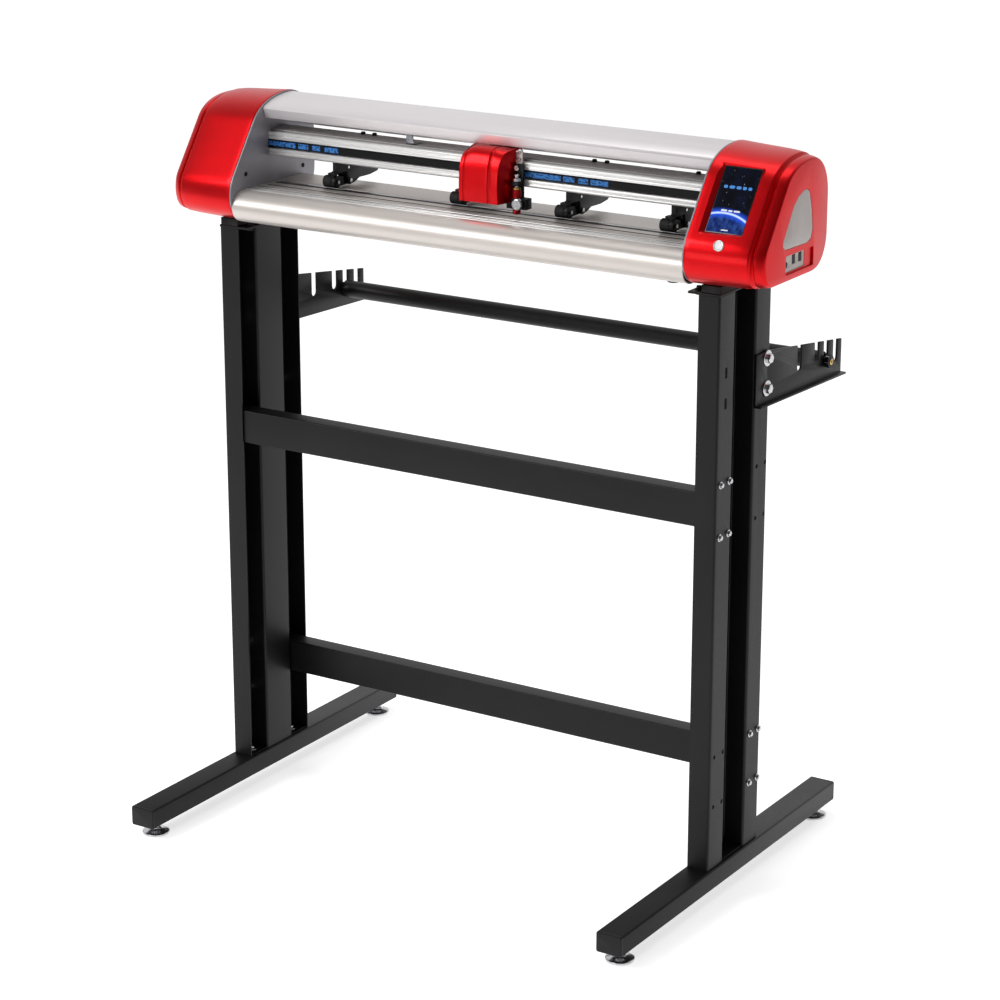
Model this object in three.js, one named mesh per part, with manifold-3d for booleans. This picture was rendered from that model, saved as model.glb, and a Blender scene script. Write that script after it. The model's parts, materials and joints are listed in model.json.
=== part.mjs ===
// A vinyl cutter on its floor stand: red end covers, aluminium body, tool carriage and pinch rollers.
// Millimetres, +Z up, +X to the operator's right, +Y to the rear. The origin is on the floor,
// under the middle of the stand's two feet.
import * as THREE from 'three';
import { mergeVertices } from 'three/addons/utils/BufferGeometryUtils.js';
import Module from 'manifold-3d';

const wasm = await Module();
wasm.setup();

// ---- driving dimensions -------------------------------------------------------------------
const GAP = 0.3;                 // clearance between neighbouring pieces

// stand
const FOOT_X = 400;              // middle of each foot beam
const FOOT_W = 40;
const FOOT_H = 30;
const FOOT_L = 642;
const FOOT_Z = 19.5;             // underside of the foot beams
const TUBE_WALL = 1.8;
const PAD_R = 20.5;              // levelling pad
const PAD_Y = [-290, 290];
const STUD_R = 5;
const COL_OUT = 416;             // outer face of a leg column
const COL_IN = 383.5;            // inner face of a leg column
const COL_Y = [-73, -29, 33, 76];  // front face, front ridge, rear ridge, rear face
const COL_Z0 = FOOT_Z + FOOT_H + GAP;
const COL_Z1 = 879.7;
const SHEET = 1.6;
const BOLT_DX = 25;              // bolt pattern of the crossbars' end plates
const BOLT_DZ = 75;
const BOLT_R = 3.4;
const BOLT_Y = [-48, 57];        // middle of the bolt columns in the front and rear ridges
const BOLT_Z = [182, 579];       // middle of the lower and upper bolt patterns
const BAR_W = 50;
const BAR_D = 30;
const ROLL_Y = 244;              // media roll bar
const ROLL_Z = 723.5;
const ROLL_R = 13.3;
const SLOT_W = 13;
const SLOT_Y = [161, 215, ROLL_Y, 274];

// cutter head
const HEAD_Z0 = 893.8;           // underside of the head
const INNER_X = 374.7;           // inner edge of the red covers
const END_X = 487.5;             // outer face of the red covers
const PLATE_X = 372.5;           // inner face of the side plates
const SPAN_X = PLATE_X - GAP;    // everything that runs between the side plates ends here
const PLATEN_Z = 939.25;
const PLATEN_T = 2;
const PLATEN_Y = [-34, 77];
const BEAM_Y = [-7.2, 22];
const BEAM_Z = [980, 1015.5];
const BELT_SLOT_Z = [990.6, 1004.3];
const GRIT_Y = 8;
const GRIT_R = 9;
const GRIT_Z = PLATEN_Z + 0.2 - GRIT_R;
const PINCH_R = 9;
const PINCH_Z = PLATEN_Z + 0.2 + GAP + PINCH_R;
const PINCH_X = [-265, -44, 130, 297];
const PIVOT_Y = 34;
const PIVOT_Z = 948;
const CUT_Y = -20;               // line that the blade cuts along
const PULLEY_X = 400;
const PULLEY_Y = 5;
const PULLEY_R = 7.3;
const BELT_T = 1.5;
const BELT_Z = [992.4, 1002.4];
const SLANT = Math.atan(0.714);  // lean of the covers' front face from the vertical
const SCREEN = new THREE.Vector3(422.9, -56.4, 1010.3);
const SCREEN_W = 56;
const SCREEN_H = 97;
const BUTTON = new THREE.Vector3(423.5, -95.6, 955.5);
const BUTTON_TILT = 0.45;
const BUTTON_R = 7.3;
const TOOL_X = 64.5;
const THUMB = [73.5, 960.5];      // axis of the thumb screw
const COVER_X = [-14, 49];       // carriage cover
const MODULE_MM = 1.5;           // feed gears
const GEAR_TEETH = 32;
const PINION_TEETH = 12;

// ---- materials ----------------------------------------------------------------------------
const paint = (color, roughness, metalness) => () =>
  new THREE.MeshStandardMaterial({ color, roughness, metalness });
const blackCoat = paint(0x242122, 0.55, 0.2);
const redPaint = paint(0xd2101c, 0.3, 0.35);
const satinAlu = paint(0xc9c4c1, 0.35, 0.9);
const whiteAlu = paint(0xdcd9da, 0.4, 0.5);
const greySheet = paint(0x8e8c90, 0.45, 0.6);
const steel = paint(0xb9bcc0, 0.22, 1.0);
const blackPlastic = paint(0x1a1a1b, 0.5, 0.0);
const rubber = paint(0x151515, 0.8, 0.0);
const brass = paint(0xc9a04a, 0.3, 1.0);
const circuitGreen = paint(0x1d5a34, 0.6, 0.1);
const screenGlass = paint(0x05060f, 0.08, 0.0);
const whitePlastic = paint(0xf2f2f2, 0.35, 0.0);
const lightGrey = paint(0xb1aaa6, 0.45, 0.3);

// ---- solids -------------------------------------------------------------------------------
function toManifold(geometry) {
  const bare = geometry.index ? geometry.toNonIndexed() : geometry.clone();
  bare.deleteAttribute('normal');
  bare.deleteAttribute('uv');
  const merged = mergeVertices(bare, 1e-4);
  return new wasm.Manifold(new wasm.Mesh({
    numProp: 3,
    vertProperties: new Float32Array(merged.attributes.position.array),
    triVerts: new Uint32Array(merged.index.array),
  }));
}

function fromManifold(solid) {
  const mesh = solid.getMesh();
  const geometry = new THREE.BufferGeometry();
  geometry.setAttribute('position', new THREE.BufferAttribute(new Float32Array(mesh.vertProperties), 3));
  geometry.setIndex(new THREE.BufferAttribute(new Uint32Array(mesh.triVerts), 1));
  return geometry;
}

const cut = (base, ...tools) => fromManifold(
  tools.reduce((solid, tool) => solid.subtract(toManifold(tool)), toManifold(base)));
const join = (base, ...others) => fromManifold(
  others.reduce((solid, other) => solid.add(toManifold(other)), toManifold(base)));

// A box from its low and high limits along each axis.
function block([x0, x1], [y0, y1], [z0, z1]) {
  const box = new THREE.BoxGeometry(x1 - x0, y1 - y0, z1 - z0);
  return box.translate((x0 + x1) / 2, (y0 + y1) / 2, (z0 + z1) / 2);
}

const shapeOf = (points) => new THREE.Shape(points.map(([a, b]) => new THREE.Vector2(a, b)));

// An outline of [x, y] points raised from z0 to z1.
function prismZ(points, [z0, z1]) {
  const solid = new THREE.ExtrudeGeometry(shapeOf(points), { depth: z1 - z0, bevelEnabled: false });
  return solid.translate(0, 0, z0);
}

// An outline of [y, z] points drawn out from x0 to x1.
function prismX(points, [x0, x1]) {
  const solid = new THREE.ExtrudeGeometry(shapeOf(points), { depth: x1 - x0, bevelEnabled: false });
  const turn = new THREE.Matrix4().makeBasis(
    new THREE.Vector3(0, 1, 0), new THREE.Vector3(0, 0, 1), new THREE.Vector3(1, 0, 0));
  return solid.applyMatrix4(turn).translate(x0, 0, 0);
}

function rodZ(r, [x, y], [z0, z1], sides = 16) {
  return new THREE.CylinderGeometry(r, r, z1 - z0, sides).rotateX(Math.PI / 2).translate(x, y, (z0 + z1) / 2);
}

function rodX(r, [x0, x1], [y, z], sides = 16) {
  return new THREE.CylinderGeometry(r, r, x1 - x0, sides).rotateZ(-Math.PI / 2).translate((x0 + x1) / 2, y, z);
}

function rodY(r, [y0, y1], [x, z], sides = 16) {
  return new THREE.CylinderGeometry(r, r, y1 - y0, sides).translate(x, (y0 + y1) / 2, z);
}

// A turned piece about +Z from [radius, height] points that start and end on the axis.
function turned(points, sides = 20) {
  return new THREE.LatheGeometry(points.map(([r, h]) => new THREE.Vector2(r, h)), sides).rotateX(Math.PI / 2);
}

// The closed outline of a bent sheet of the given thickness along an open line of points.
function bentSheet(line, thickness) {
  const offset = (side) => line.map(([a, b], i) => {
    const [pa, pb] = line[Math.max(i - 1, 0)];
    const [na, nb] = line[Math.min(i + 1, line.length - 1)];
    const before = new THREE.Vector2(a - pa, b - pb).normalize();
    const after = new THREE.Vector2(na - a, nb - b).normalize();
    const along = before.clone().add(after).normalize();
    const bend = Math.max(along.dot(i === 0 ? after : before), 0.5);
    const reach = side * thickness / 2 / bend;
    return [a - along.y * reach, b + along.x * reach];
  });
  return [...offset(1), ...offset(-1).reverse()];
}

// Rounds the corners of an open line of points with short arcs.
function softened(line, radius, steps = 2) {
  return line.flatMap((point, i) => {
    if (i === 0 || i === line.length - 1) return [point];
    const corner = new THREE.Vector2(...point);
    const from = new THREE.Vector2(...line[i - 1]).sub(corner).setLength(radius).add(corner);
    const to = new THREE.Vector2(...line[i + 1]).sub(corner).setLength(radius).add(corner);
    const arc = new THREE.QuadraticBezierCurve(from, corner, to);
    return arc.getPoints(steps).map((p) => [p.x, p.y]);
  });
}

const root = new THREE.Group();

function piece(name, geometry, material, parent = root) {
  const mesh = new THREE.Mesh(geometry, material());
  mesh.name = name;
  parent.add(mesh);
  return mesh;
}

const SIDES = [['left', -1], ['right', 1]];
const span = (side, a, b) => [Math.min(side * a, side * b), Math.max(side * a, side * b)];

// ---- stand --------------------------------------------------------------------------------
function footBeam() {
  const [w, l, z1] = [FOOT_W / 2, FOOT_L / 2, FOOT_Z + FOOT_H];
  const shell = block([-w, w], [-l, l], [FOOT_Z, z1]);
  const hollow = block([-w + TUBE_WALL, w - TUBE_WALL], [-l + TUBE_WALL, l - TUBE_WALL],
    [FOOT_Z + TUBE_WALL, z1 - TUBE_WALL]);
  const studs = PAD_Y.map((y) => rodZ(STUD_R + GAP, [0, y], [FOOT_Z - 1, FOOT_Z + TUBE_WALL + 1], 12));
  return cut(shell, hollow, ...studs);
}

function levellingFoot() {
  return turned([[0, 0], [PAD_R - 1, 0], [PAD_R, 1.2], [PAD_R, 3.4], [PAD_R - 2.5, 5], [11, 6.6],
    [8, 8.4], [STUD_R, 9.2], [STUD_R, 38], [0, 38]], 24);
}

function boltHoles(side, y, z) {
  const spots = [-1, 1].flatMap((a) => [-1, 1].map((b) => [y + a * BOLT_DX / 2, z + b * BOLT_DZ / 2]));
  return spots.map((spot) => rodX(BOLT_R, span(side, COL_OUT - 4, COL_OUT + 1), spot, 8));
}

// A leg column is one sheet folded into two ridges that face outwards, with a valley between them.
function legColumn(side) {
  const inner = side * (COL_IN + SHEET / 2);
  const outer = side * (COL_OUT - SHEET / 2);
  const [front, ridgeEnd, ridgeStart, rear] = COL_Y;
  const fold = [[side * COL_IN, front + SHEET / 2], [outer, front + SHEET / 2],
    [outer, ridgeEnd], [inner, ridgeEnd], [inner, ridgeStart], [outer, ridgeStart],
    [outer, rear - SHEET / 2], [side * COL_IN, rear - SHEET / 2]];
  const post = prismZ(bentSheet(softened(fold, 3), SHEET), [COL_Z0, COL_Z1]);
  const holes = BOLT_Y.flatMap((y) => BOLT_Z.flatMap((z) => boltHoles(side, y, z)));
  const slots = [729, 772].map((z) => block(span(side, COL_OUT - 4, COL_OUT + 1), [-55, -48], [z - 8, z + 8]));
  const bracketHoles = [725, 768].map((z) => rodX(4.4, span(side, COL_OUT - 4, COL_OUT + 1), [62, z], 8));
  return cut(post, ...holes, ...slots, ...bracketHoles);
}

// The plate on top of a leg column and the spacer block that the cutter head is bolted to.
function headMount(side) {
  const plate = block(span(side, COL_IN - 17, COL_OUT), [COL_Y[0], COL_Y[3]], [COL_Z1 + GAP, COL_Z1 + 3.3]);
  const spacer = block(span(side, COL_IN + 2, COL_OUT - 0.5), [COL_Y[0] + 3, 62], [COL_Z1 + 3, HEAD_Z0 - GAP]);
  const bolt = rodZ(4.3, [side * 375, -55], [COL_Z1 - 1, COL_Z1 + 6], 10);
  return cut(join(plate, spacer), bolt);
}

// A square tube with a welded plate at each end, which lies inside the ridge and takes its bolts.
function crossbar(y0, z0, boltY, [ridge0, ridge1]) {
  const end = COL_OUT - SHEET - 2 * GAP;
  const tube = block([-end + 1, end - 1], [y0, y0 + BAR_D], [z0, z0 + BAR_W]);
  const hollow = block([-end - 1, end + 1], [y0 + TUBE_WALL, y0 + BAR_D - TUBE_WALL],
    [z0 + TUBE_WALL, z0 + BAR_W - TUBE_WALL]);
  const middle = z0 + BAR_W / 2;
  const flange = (side) => block(span(side, end - 3, end), [ridge0 + 4.4, ridge1 - 3],
    [middle - 49, middle + 49]);
  const bores = SIDES.flatMap(([, side]) => boltHoles(side, boltY, middle));
  return cut(join(tube, flange(-1), flange(1)), hollow, ...bores);
}

// A roll bracket: a tapered side plate with a bottom lip, and open slots along its top edge.
function rollBracket(side) {
  const plateX = span(side, COL_OUT + GAP, COL_OUT + 3.3);
  const lipX = span(side, COL_OUT + GAP, COL_OUT + 12);
  const top = (y) => 783 - 0.14 * (y - 30);
  const plate = prismX([[30, 706], [294, 697], [294, top(294)], [282, top(282)], [70, top(70)], [30, top(30) - 5]],
    plateX);
  const lip = prismX([[30, 703.5], [294, 694.5], [294, 697.5], [30, 706.5]], lipX);
  const slots = SLOT_Y.map((y, i) => {
    const bottom = (i < 2 ? ROLL_Z + 11 : ROLL_Z) - 0.5;
    const round = rodX(SLOT_W / 2, span(side, COL_OUT - 2, COL_OUT + 6), [y, bottom], 12);
    return join(round, block(span(side, COL_OUT - 2, COL_OUT + 6),
      [y - SLOT_W / 2, y + SLOT_W / 2], [bottom, 800]));
  });
  const bolts = [725, 768].map((z) => rodX(4.4, span(side, COL_OUT - 2, COL_OUT + 6), [62, z], 8));
  return cut(join(plate, lip), ...slots, ...bolts);
}

// The tube that the media roll turns on. Each end has a pin that lies in the bracket's slot and a collar
// outside it; a fine bore runs right through.
function mediaRollBar() {
  const half = COL_OUT + 12.5;
  const shoulder = COL_OUT - 1;
  const end = [[5.5, half], [9.3, half - 1], [9.3, COL_OUT + 4], [5.9, COL_OUT + 4], [5.9, shoulder],
    [ROLL_R, shoulder]];
  const bore = [[1.5, half], [1.5, shoulder - 5], [11.5, shoulder - 5]];
  const mirrored = (points) => points.map(([r, x]) => [r, -x]);
  const profile = [...mirrored(end), ...[...end].reverse(), ...bore, ...mirrored([...bore].reverse())];
  const closed = [...profile, profile[0]];
  const bar = new THREE.LatheGeometry(closed.map(([r, x]) => new THREE.Vector2(r, x)), 20);
  return bar.rotateZ(-Math.PI / 2);
}

function addStand() {
  for (const [name, side] of SIDES) {
    piece(`${name}_foot_beam`, footBeam(), blackCoat).position.x = side * FOOT_X;
    piece(`${name}_leg_column`, legColumn(side), blackCoat);
    piece(`${name}_head_mount`, headMount(side), blackCoat);
    piece(`${name}_roll_bracket`, rollBracket(side), blackCoat);
    for (const [place, y] of [['front', PAD_Y[0]], ['rear', PAD_Y[1]]]) {
      piece(`${place}_${name}_levelling_foot`, levellingFoot(), steel).position.set(side * FOOT_X, y, 0);
    }
  }
  piece('upper_crossbar', crossbar(-70, BOLT_Z[1] - BAR_W / 2, BOLT_Y[0], COL_Y.slice(0, 2)), blackCoat);
  piece('lower_crossbar', crossbar(36.5, BOLT_Z[0] - BAR_W / 2, BOLT_Y[1], COL_Y.slice(2)), blackCoat);
  piece('media_roll_bar', mediaRollBar(), blackCoat).position.set(0, ROLL_Y, ROLL_Z);
}

// ---- end covers and side plates -----------------------------------------------------------
// The covers' side profile: flat underside, round nose, slanted front face, domed top, rounded back.
function headProfile(steps = 7) {
  const p = new THREE.Path();
  p.moveTo(50, HEAD_Z0);
  p.lineTo(-60, HEAD_Z0);
  p.bezierCurveTo(-88, HEAD_Z0, -103, 912, -102.5, 933);
  p.bezierCurveTo(-102.2, 945, -99.5, 953.5, -94, 961.6);
  p.lineTo(-41, 1035.8);
  p.bezierCurveTo(-27, 1055, 0, 1068.6, 44, 1068.6);
  p.bezierCurveTo(80, 1068.6, 107, 1042, 107.5, 1000);
  p.lineTo(107.5, 950);
  p.bezierCurveTo(107.5, 920, 88, HEAD_Z0, 50, HEAD_Z0);
  return p.getPoints(steps).slice(0, -1).map((v) => [v.x, v.y]);
}

// Moves every point of a clockwise [y, z] outline inwards by d.
function inset(points, d) {
  return points.map(([a, b], i) => {
    const [pa, pb] = points[(i + points.length - 1) % points.length];
    const [na, nb] = points[(i + 1) % points.length];
    const along = new THREE.Vector2(a - pa, b - pb).normalize()
      .add(new THREE.Vector2(na - a, nb - b).normalize()).normalize();
    return [a + along.y * d, b - along.x * d];
  });
}

// A closed skin over rings of points that all have the same number of points.
function loft(rings) {
  const count = rings[0].length;
  const position = rings.flat(2);
  const index = [];
  rings.slice(0, -1).forEach((_, r) => {
    for (let i = 0; i < count; i += 1) {
      const j = (i + 1) % count;
      const [a, b, c, d] = [r * count + i, r * count + j, (r + 1) * count + i, (r + 1) * count + j];
      index.push(a, b, c, b, d, c);
    }
  });
  const capPoints = (ring) => ring.map(([, y, z]) => new THREE.Vector2(y, z));
  const last = (rings.length - 1) * count;
  THREE.ShapeUtils.triangulateShape(capPoints(rings[0]), []).forEach(([a, b, c]) => index.push(a, b, c));
  THREE.ShapeUtils.triangulateShape(capPoints(rings.at(-1)), [])
    .forEach(([a, b, c]) => index.push(last + a, last + c, last + b));
  const geometry = new THREE.BufferGeometry();
  geometry.setAttribute('position', new THREE.Float32BufferAttribute(position, 3));
  geometry.setIndex(index);
  return geometry;
}

// Turns a closed surface's faces outwards if its signed volume is negative.
function facingOut(geometry) {
  const p = geometry.attributes.position;
  const idx = geometry.index.array;
  const [a, b, c] = [new THREE.Vector3(), new THREE.Vector3(), new THREE.Vector3()];
  let volume = 0;
  for (let i = 0; i < idx.length; i += 3) {
    a.fromBufferAttribute(p, idx[i]);
    b.fromBufferAttribute(p, idx[i + 1]);
    c.fromBufferAttribute(p, idx[i + 2]);
    volume += a.dot(b.cross(c));
  }
  if (volume < 0) {
    for (let i = 0; i < idx.length; i += 3) [idx[i + 1], idx[i + 2]] = [idx[i + 2], idx[i + 1]];
  }
  return geometry;
}

// One section of a cover: the profile set in by top and front millimetres, less at the back and below.
function ringAt(side, x, top, front, wall) {
  const profile = headProfile();
  return inset(profile, 1).map(([y, z], i) => {
    const [ny, nz] = [y - profile[i][0], z - profile[i][1]];
    const dy = wall + (ny > 0 ? front : 0.7 * front);
    const dz = wall + (nz < 0 ? top : 0.38 * front);
    return [side * x, profile[i][0] + ny * dy, profile[i][1] + nz * dz];
  });
}

// Distance from the middle, then how far the top and the front are set in: a taper, a step, a round end.
const COVER_SKIN = [[INNER_X, 0, 0], [400, 1.6, 1], [420, 2.8, 2], [440, 3.9, 3.4], [455, 5.1, 4.8],
  [465, 6.4, 6], [469, 7.3, 6.8], [470, 8, 7.4], [471, 9.8, 9.6], [472.5, 10.5, 10.6], [480, 11, 13],
  [484, 11.8, 15.2], [486.5, 12.4, 17.6], [END_X, 13.2, 19.4]];
const COVER_HOLLOW = [[INNER_X - 1, 0, 0], [400, 1.6, 1], [440, 3.9, 3.4], [465, 6.4, 6], [471, 10, 10],
  [END_X - 5, 11.6, 14.6]];

function endCover(side) {
  const solid = (sections, wall) => facingOut(loft(sections.map((s) => ringAt(side, ...s, wall))));
  const pocket = rodZ(9, [side * 464, -63], [HEAD_Z0 - 1, HEAD_Z0 + 3.6], 20);
  return cut(solid(COVER_SKIN, 0), solid(COVER_HOLLOW, 2.6), pocket);
}

// Places a shape drawn flat (x across, y up, z out of the face) on the covers' slanted front face.
function onSlant(geometry, place, lean = SLANT) {
  const up = new THREE.Vector3(0, Math.sin(lean), Math.cos(lean));
  const out = new THREE.Vector3(0, -Math.cos(lean), Math.sin(lean));
  const turn = new THREE.Matrix4().makeBasis(new THREE.Vector3(1, 0, 0), up, out);
  return geometry.applyMatrix4(turn.setPosition(place));
}

function screenRecess() {
  const [w, h] = [SCREEN_W / 2, SCREEN_H / 2];
  const ring = (a, b, z) => [[-a, -b, z], [a, -b, z], [a, b, z], [-a, b, z]];
  const bevel = new THREE.BufferGeometry();
  bevel.setAttribute('position', new THREE.Float32BufferAttribute(
    [...ring(w + 0.4, h + 0.4, -3), ...ring(w + 8, h + 8, 3)].flat(), 3));
  bevel.setIndex([0, 2, 1, 0, 3, 2, 4, 5, 6, 4, 6, 7, 0, 1, 5, 0, 5, 4, 1, 2, 6, 1, 6, 5,
    2, 3, 7, 2, 7, 6, 3, 0, 4, 3, 4, 7]);
  const window = new THREE.BoxGeometry(SCREEN_W + 2 * GAP, SCREEN_H + 2 * GAP, 30).translate(0, 0, -14);
  return join(onSlant(bevel, SCREEN), onSlant(window, SCREEN));
}

const buttonRod = (r, z0, z1, sides) => onSlant(
  new THREE.CylinderGeometry(r, r, z1 - z0, sides).rotateX(Math.PI / 2).translate(0, 0, (z0 + z1) / 2),
  BUTTON, BUTTON_TILT);

// The light plate set into the right cover's outer face: a rounded outline wider at its foot.
const INSERT_OUTLINE = [[21, 1016], [30, 1017], [39, 1012], [47.5, 986], [51, 958], [47, 947], [35, 942.5],
  [-28, 944], [-36, 950], [-34, 957], [-6, 1000], [8, 1011]];
const PORT_Y = [-26, 33];
const PORT_Z = [911.5, 935];

function rightCover() {
  const pocket = prismX(INSERT_OUTLINE, [END_X - 1.2, END_X + 2]);
  const recess = block([END_X - 2.6, END_X + 2], [PORT_Y[0], 55], [909, PORT_Z[1]]);
  const ports = block([END_X - 12, END_X + 2], PORT_Y, PORT_Z);
  const bore = buttonRod(BUTTON_R + GAP, -15, 10, 20);
  return cut(endCover(1), screenRecess(), bore, pocket, recess, ports);
}

// A side plate carries the beam, the platen and the grit roller. The left one has the idler's shelf.
function sidePlate(side) {
  const x = span(side, PLATE_X, INNER_X - GAP);
  const wide = span(side, PLATE_X - 1, INNER_X + 1);
  const sheet = prismX(inset(headProfile(5), 0.6), x);
  const beltWindow = block(wide, [-7.5, 17.5], [988.5, 1006.5]);
  const journal = rodX(5 + GAP, wide, [GRIT_Y, GRIT_Z], 16);
  const plate = cut(sheet, beltWindow, journal);
  if (side > 0) return plate;
  const shelf = block([-PULLEY_X - 11, -INNER_X + 0.8], [PULLEY_Y - 9, PULLEY_Y + 9], [984.5, 987.5]);
  const pin = rodZ(2.5, [-PULLEY_X, PULLEY_Y], [987, 1007], 12);
  return join(plate, shelf, pin);
}

function addCovers() {
  piece('left_end_cover', endCover(-1), redPaint);
  piece('right_end_cover', rightCover(), redPaint);
  piece('left_side_plate', sidePlate(-1), greySheet);
  piece('right_side_plate', sidePlate(1), greySheet);
  const insert = prismX(inset(INSERT_OUTLINE, GAP), [END_X - 0.9, END_X - 0.1]);
  piece('side_panel_insert', insert, lightGrey);
  const display = new THREE.BoxGeometry(SCREEN_W, SCREEN_H, 5).translate(0, 0, -5.6);
  piece('touch_screen', onSlant(display, SCREEN), screenGlass);
  piece('power_button', join(buttonRod(BUTTON_R, -9, 1.6, 20), buttonRod(BUTTON_R + 2, -10.5, -8.5, 20)),
    whitePlastic);
  const sockets = [[-2.5, 7], [16, 26]];
  const face = block([END_X - 5.4, END_X - 3], [PORT_Y[0] + GAP, PORT_Y[1] - GAP],
    [PORT_Z[0] + GAP, PORT_Z[1] - GAP]);
  const holes = sockets.map((y) => block([END_X - 9, END_X - 2], y, [920, 933]));
  const jack = rodX(4.5, [END_X - 9, END_X - 2], [-19.3, 922], 16);
  piece('port_panel', cut(face, jack, ...holes), lightGrey);
}

// ---- body of the head ---------------------------------------------------------------------
// The body extrusion: its top lies level with the platen, rolls over the nose and runs under to the back.
function bodyExtrusion() {
  const nose = new THREE.EllipseCurve(-72.5, 916.4, 26, 22, Math.PI / 2, 3 * Math.PI / 2);
  const line = [[-35, PLATEN_Z - 0.9], ...nose.getPoints(12).map((v) => [v.x, v.y]),
    [PLATEN_Y[1] - 1, 894.6], [PLATEN_Y[1] - 1, PLATEN_Z - PLATEN_T - GAP]];
  return prismX(bentSheet(line, 1.6), [-SPAN_X, SPAN_X]);
}

function platen() {
  const plate = block([-SPAN_X, SPAN_X], PLATEN_Y, [PLATEN_Z - PLATEN_T, PLATEN_Z]);
  const slot = block([-SPAN_X + 6, SPAN_X - 6], [GRIT_Y - 6.5, GRIT_Y + 6.5],
    [PLATEN_Z - 5, PLATEN_Z + 1]);
  const groove = block([-SPAN_X + 6, SPAN_X - 6], [CUT_Y - 3, CUT_Y + 3], [PLATEN_Z - 1, PLATEN_Z + 1]);
  return cut(plate, slot, groove);
}

// The guide beam is open at the front, where the drive belt shows between its two bright rails.
function guideBeam() {
  const [y0, y1] = BEAM_Y;
  const [z0, z1] = BEAM_Z;
  const [s0, s1] = BELT_SLOT_Z;
  const outline = [[y0 + 2, z0], [y1, z0], [y1, z1], [y0 + 1.5, z1], [y0, z1 - 1.5], [y0, z1 - 4.6],
    [y0 + 1.4, z1 - 5.4], [y0 + 1.4, z1 - 6.4], [y0, z1 - 7.2], [y0, s1], [y1 - 4, s1], [y1 - 4, s0],
    [y0, s0], [y0, z0 + 6.6], [y0 + 1.4, z0 + 5.9], [y0 + 1.4, z0 + 5], [y0, z0 + 4.3], [y0, z0 + 2]];
  return prismX(outline, [-SPAN_X, SPAN_X]);
}

function cableTray() {
  const plate = block([-SPAN_X, SPAN_X], [1, 42], [BEAM_Z[1] + GAP, BEAM_Z[1] + 2.3]);
  const pitch = 74;
  const slots = [-4, -3, -2, -1, 0, 1, 2, 3, 4].map((i) =>
    block([i * pitch - 24, i * pitch + 24], [5, 10], [BEAM_Z[1] - 1, BEAM_Z[1] + 3]));
  return cut(plate, ...slots);
}

function topCover() {
  const roof = new THREE.CubicBezierCurve(new THREE.Vector2(-18.6, 1051.4), new THREE.Vector2(-2, 1061),
    new THREE.Vector2(20, 1065.4), new THREE.Vector2(44, 1065.4));
  const back = new THREE.CubicBezierCurve(new THREE.Vector2(44, 1065.4), new THREE.Vector2(78, 1065.4),
    new THREE.Vector2(103, 1041), new THREE.Vector2(104, 1008));
  const line = [[-12.5, 1036.5], ...roof.getPoints(6).map((v) => [v.x, v.y]),
    ...back.getPoints(8).slice(1).map((v) => [v.x, v.y])];
  return prismX(bentSheet(line, 1.8), [-SPAN_X, SPAN_X]);
}

function driveBelt() {
  const loop = (r) => {
    const p = new THREE.Path();
    p.absarc(PULLEY_X, PULLEY_Y, r, -Math.PI / 2, Math.PI / 2, false);
    p.absarc(-PULLEY_X, PULLEY_Y, r, Math.PI / 2, 3 * Math.PI / 2, false);
    return p.getPoints(10);
  };
  const inner = PULLEY_R + GAP;
  const shape = new THREE.Shape(loop(inner + BELT_T));
  shape.holes.push(new THREE.Path(loop(inner)));
  const depth = BELT_Z[1] - BELT_Z[0];
  return new THREE.ExtrudeGeometry(shape, { depth, bevelEnabled: false }).translate(0, 0, BELT_Z[0]);
}

// A belt pulley with a flange above and below the belt, and a bore for its pin or shaft.
function pulley(bore) {
  const wheel = join(rodZ(PULLEY_R, [0, 0], [-7, 7], 24), rodZ(9.6, [0, 0], [-7.5, -5.4], 24),
    rodZ(9.6, [0, 0], [5.4, 7.5], 24));
  return cut(wheel, rodZ(bore, [0, 0], [-9, 9], 12));
}

function carriageMotor() {
  const can = block([PULLEY_X - 17.5, PULLEY_X + 17.5], [PULLEY_Y - 17.5, PULLEY_Y + 17.5], [1008, 1038]);
  return join(can, rodZ(2.4, [PULLEY_X, PULLEY_Y], [990.5, 1009], 12));
}

function gritRoller() {
  const sleeve = rodX(GRIT_R, [-364, 364], [GRIT_Y, GRIT_Z], 24);
  const shaft = rodX(5, [-379, 396], [GRIT_Y, GRIT_Z], 16);
  return join(sleeve, shaft);
}

// A spur gear with short square-cut teeth, drawn about its own middle in the plane across X.
function spurGear(teeth, phase, bore) {
  const pitchR = MODULE_MM * teeth / 2;
  const [tip, foot] = [pitchR + 0.9 * MODULE_MM, pitchR - 1.15 * MODULE_MM];
  const step = 2 * Math.PI / teeth;
  const outline = Array.from({ length: teeth }, (_, i) => i * step + phase).flatMap((a) =>
    [[foot, -0.27], [tip, -0.12], [tip, 0.12], [foot, 0.27]].map(([r, w]) =>
      [r * Math.cos(a + w * step), r * Math.sin(a + w * step)]));
  return cut(prismX(outline, [-4, 4]), rodX(bore, [-6, 6], [0, 0], 16));
}

const PINION_Y = GRIT_Y + MODULE_MM * (GEAR_TEETH + PINION_TEETH) / 2 + 0.4;

function feedMotor() {
  const can = block([397, 445], [PINION_Y - 21, PINION_Y + 21], [GRIT_Z - 21, GRIT_Z + 21]);
  return join(can, rodX(2.9, [384, 398], [PINION_Y, GRIT_Z], 12));
}

function mainBoard() {
  const board = block([462, 463.6], [-30, 66], [912, 994]);
  const usb = block([463, 475], [-3, 7], [918, 936]);
  const usbB = block([463, 475], [16, 26], [918, 936]);
  const jack = block([463, 475], [-23, -13], [918, 932]);
  const chip = block([459, 462.5], [10, 40], [950, 980]);
  return join(board, usb, usbB, jack, chip);
}

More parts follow.
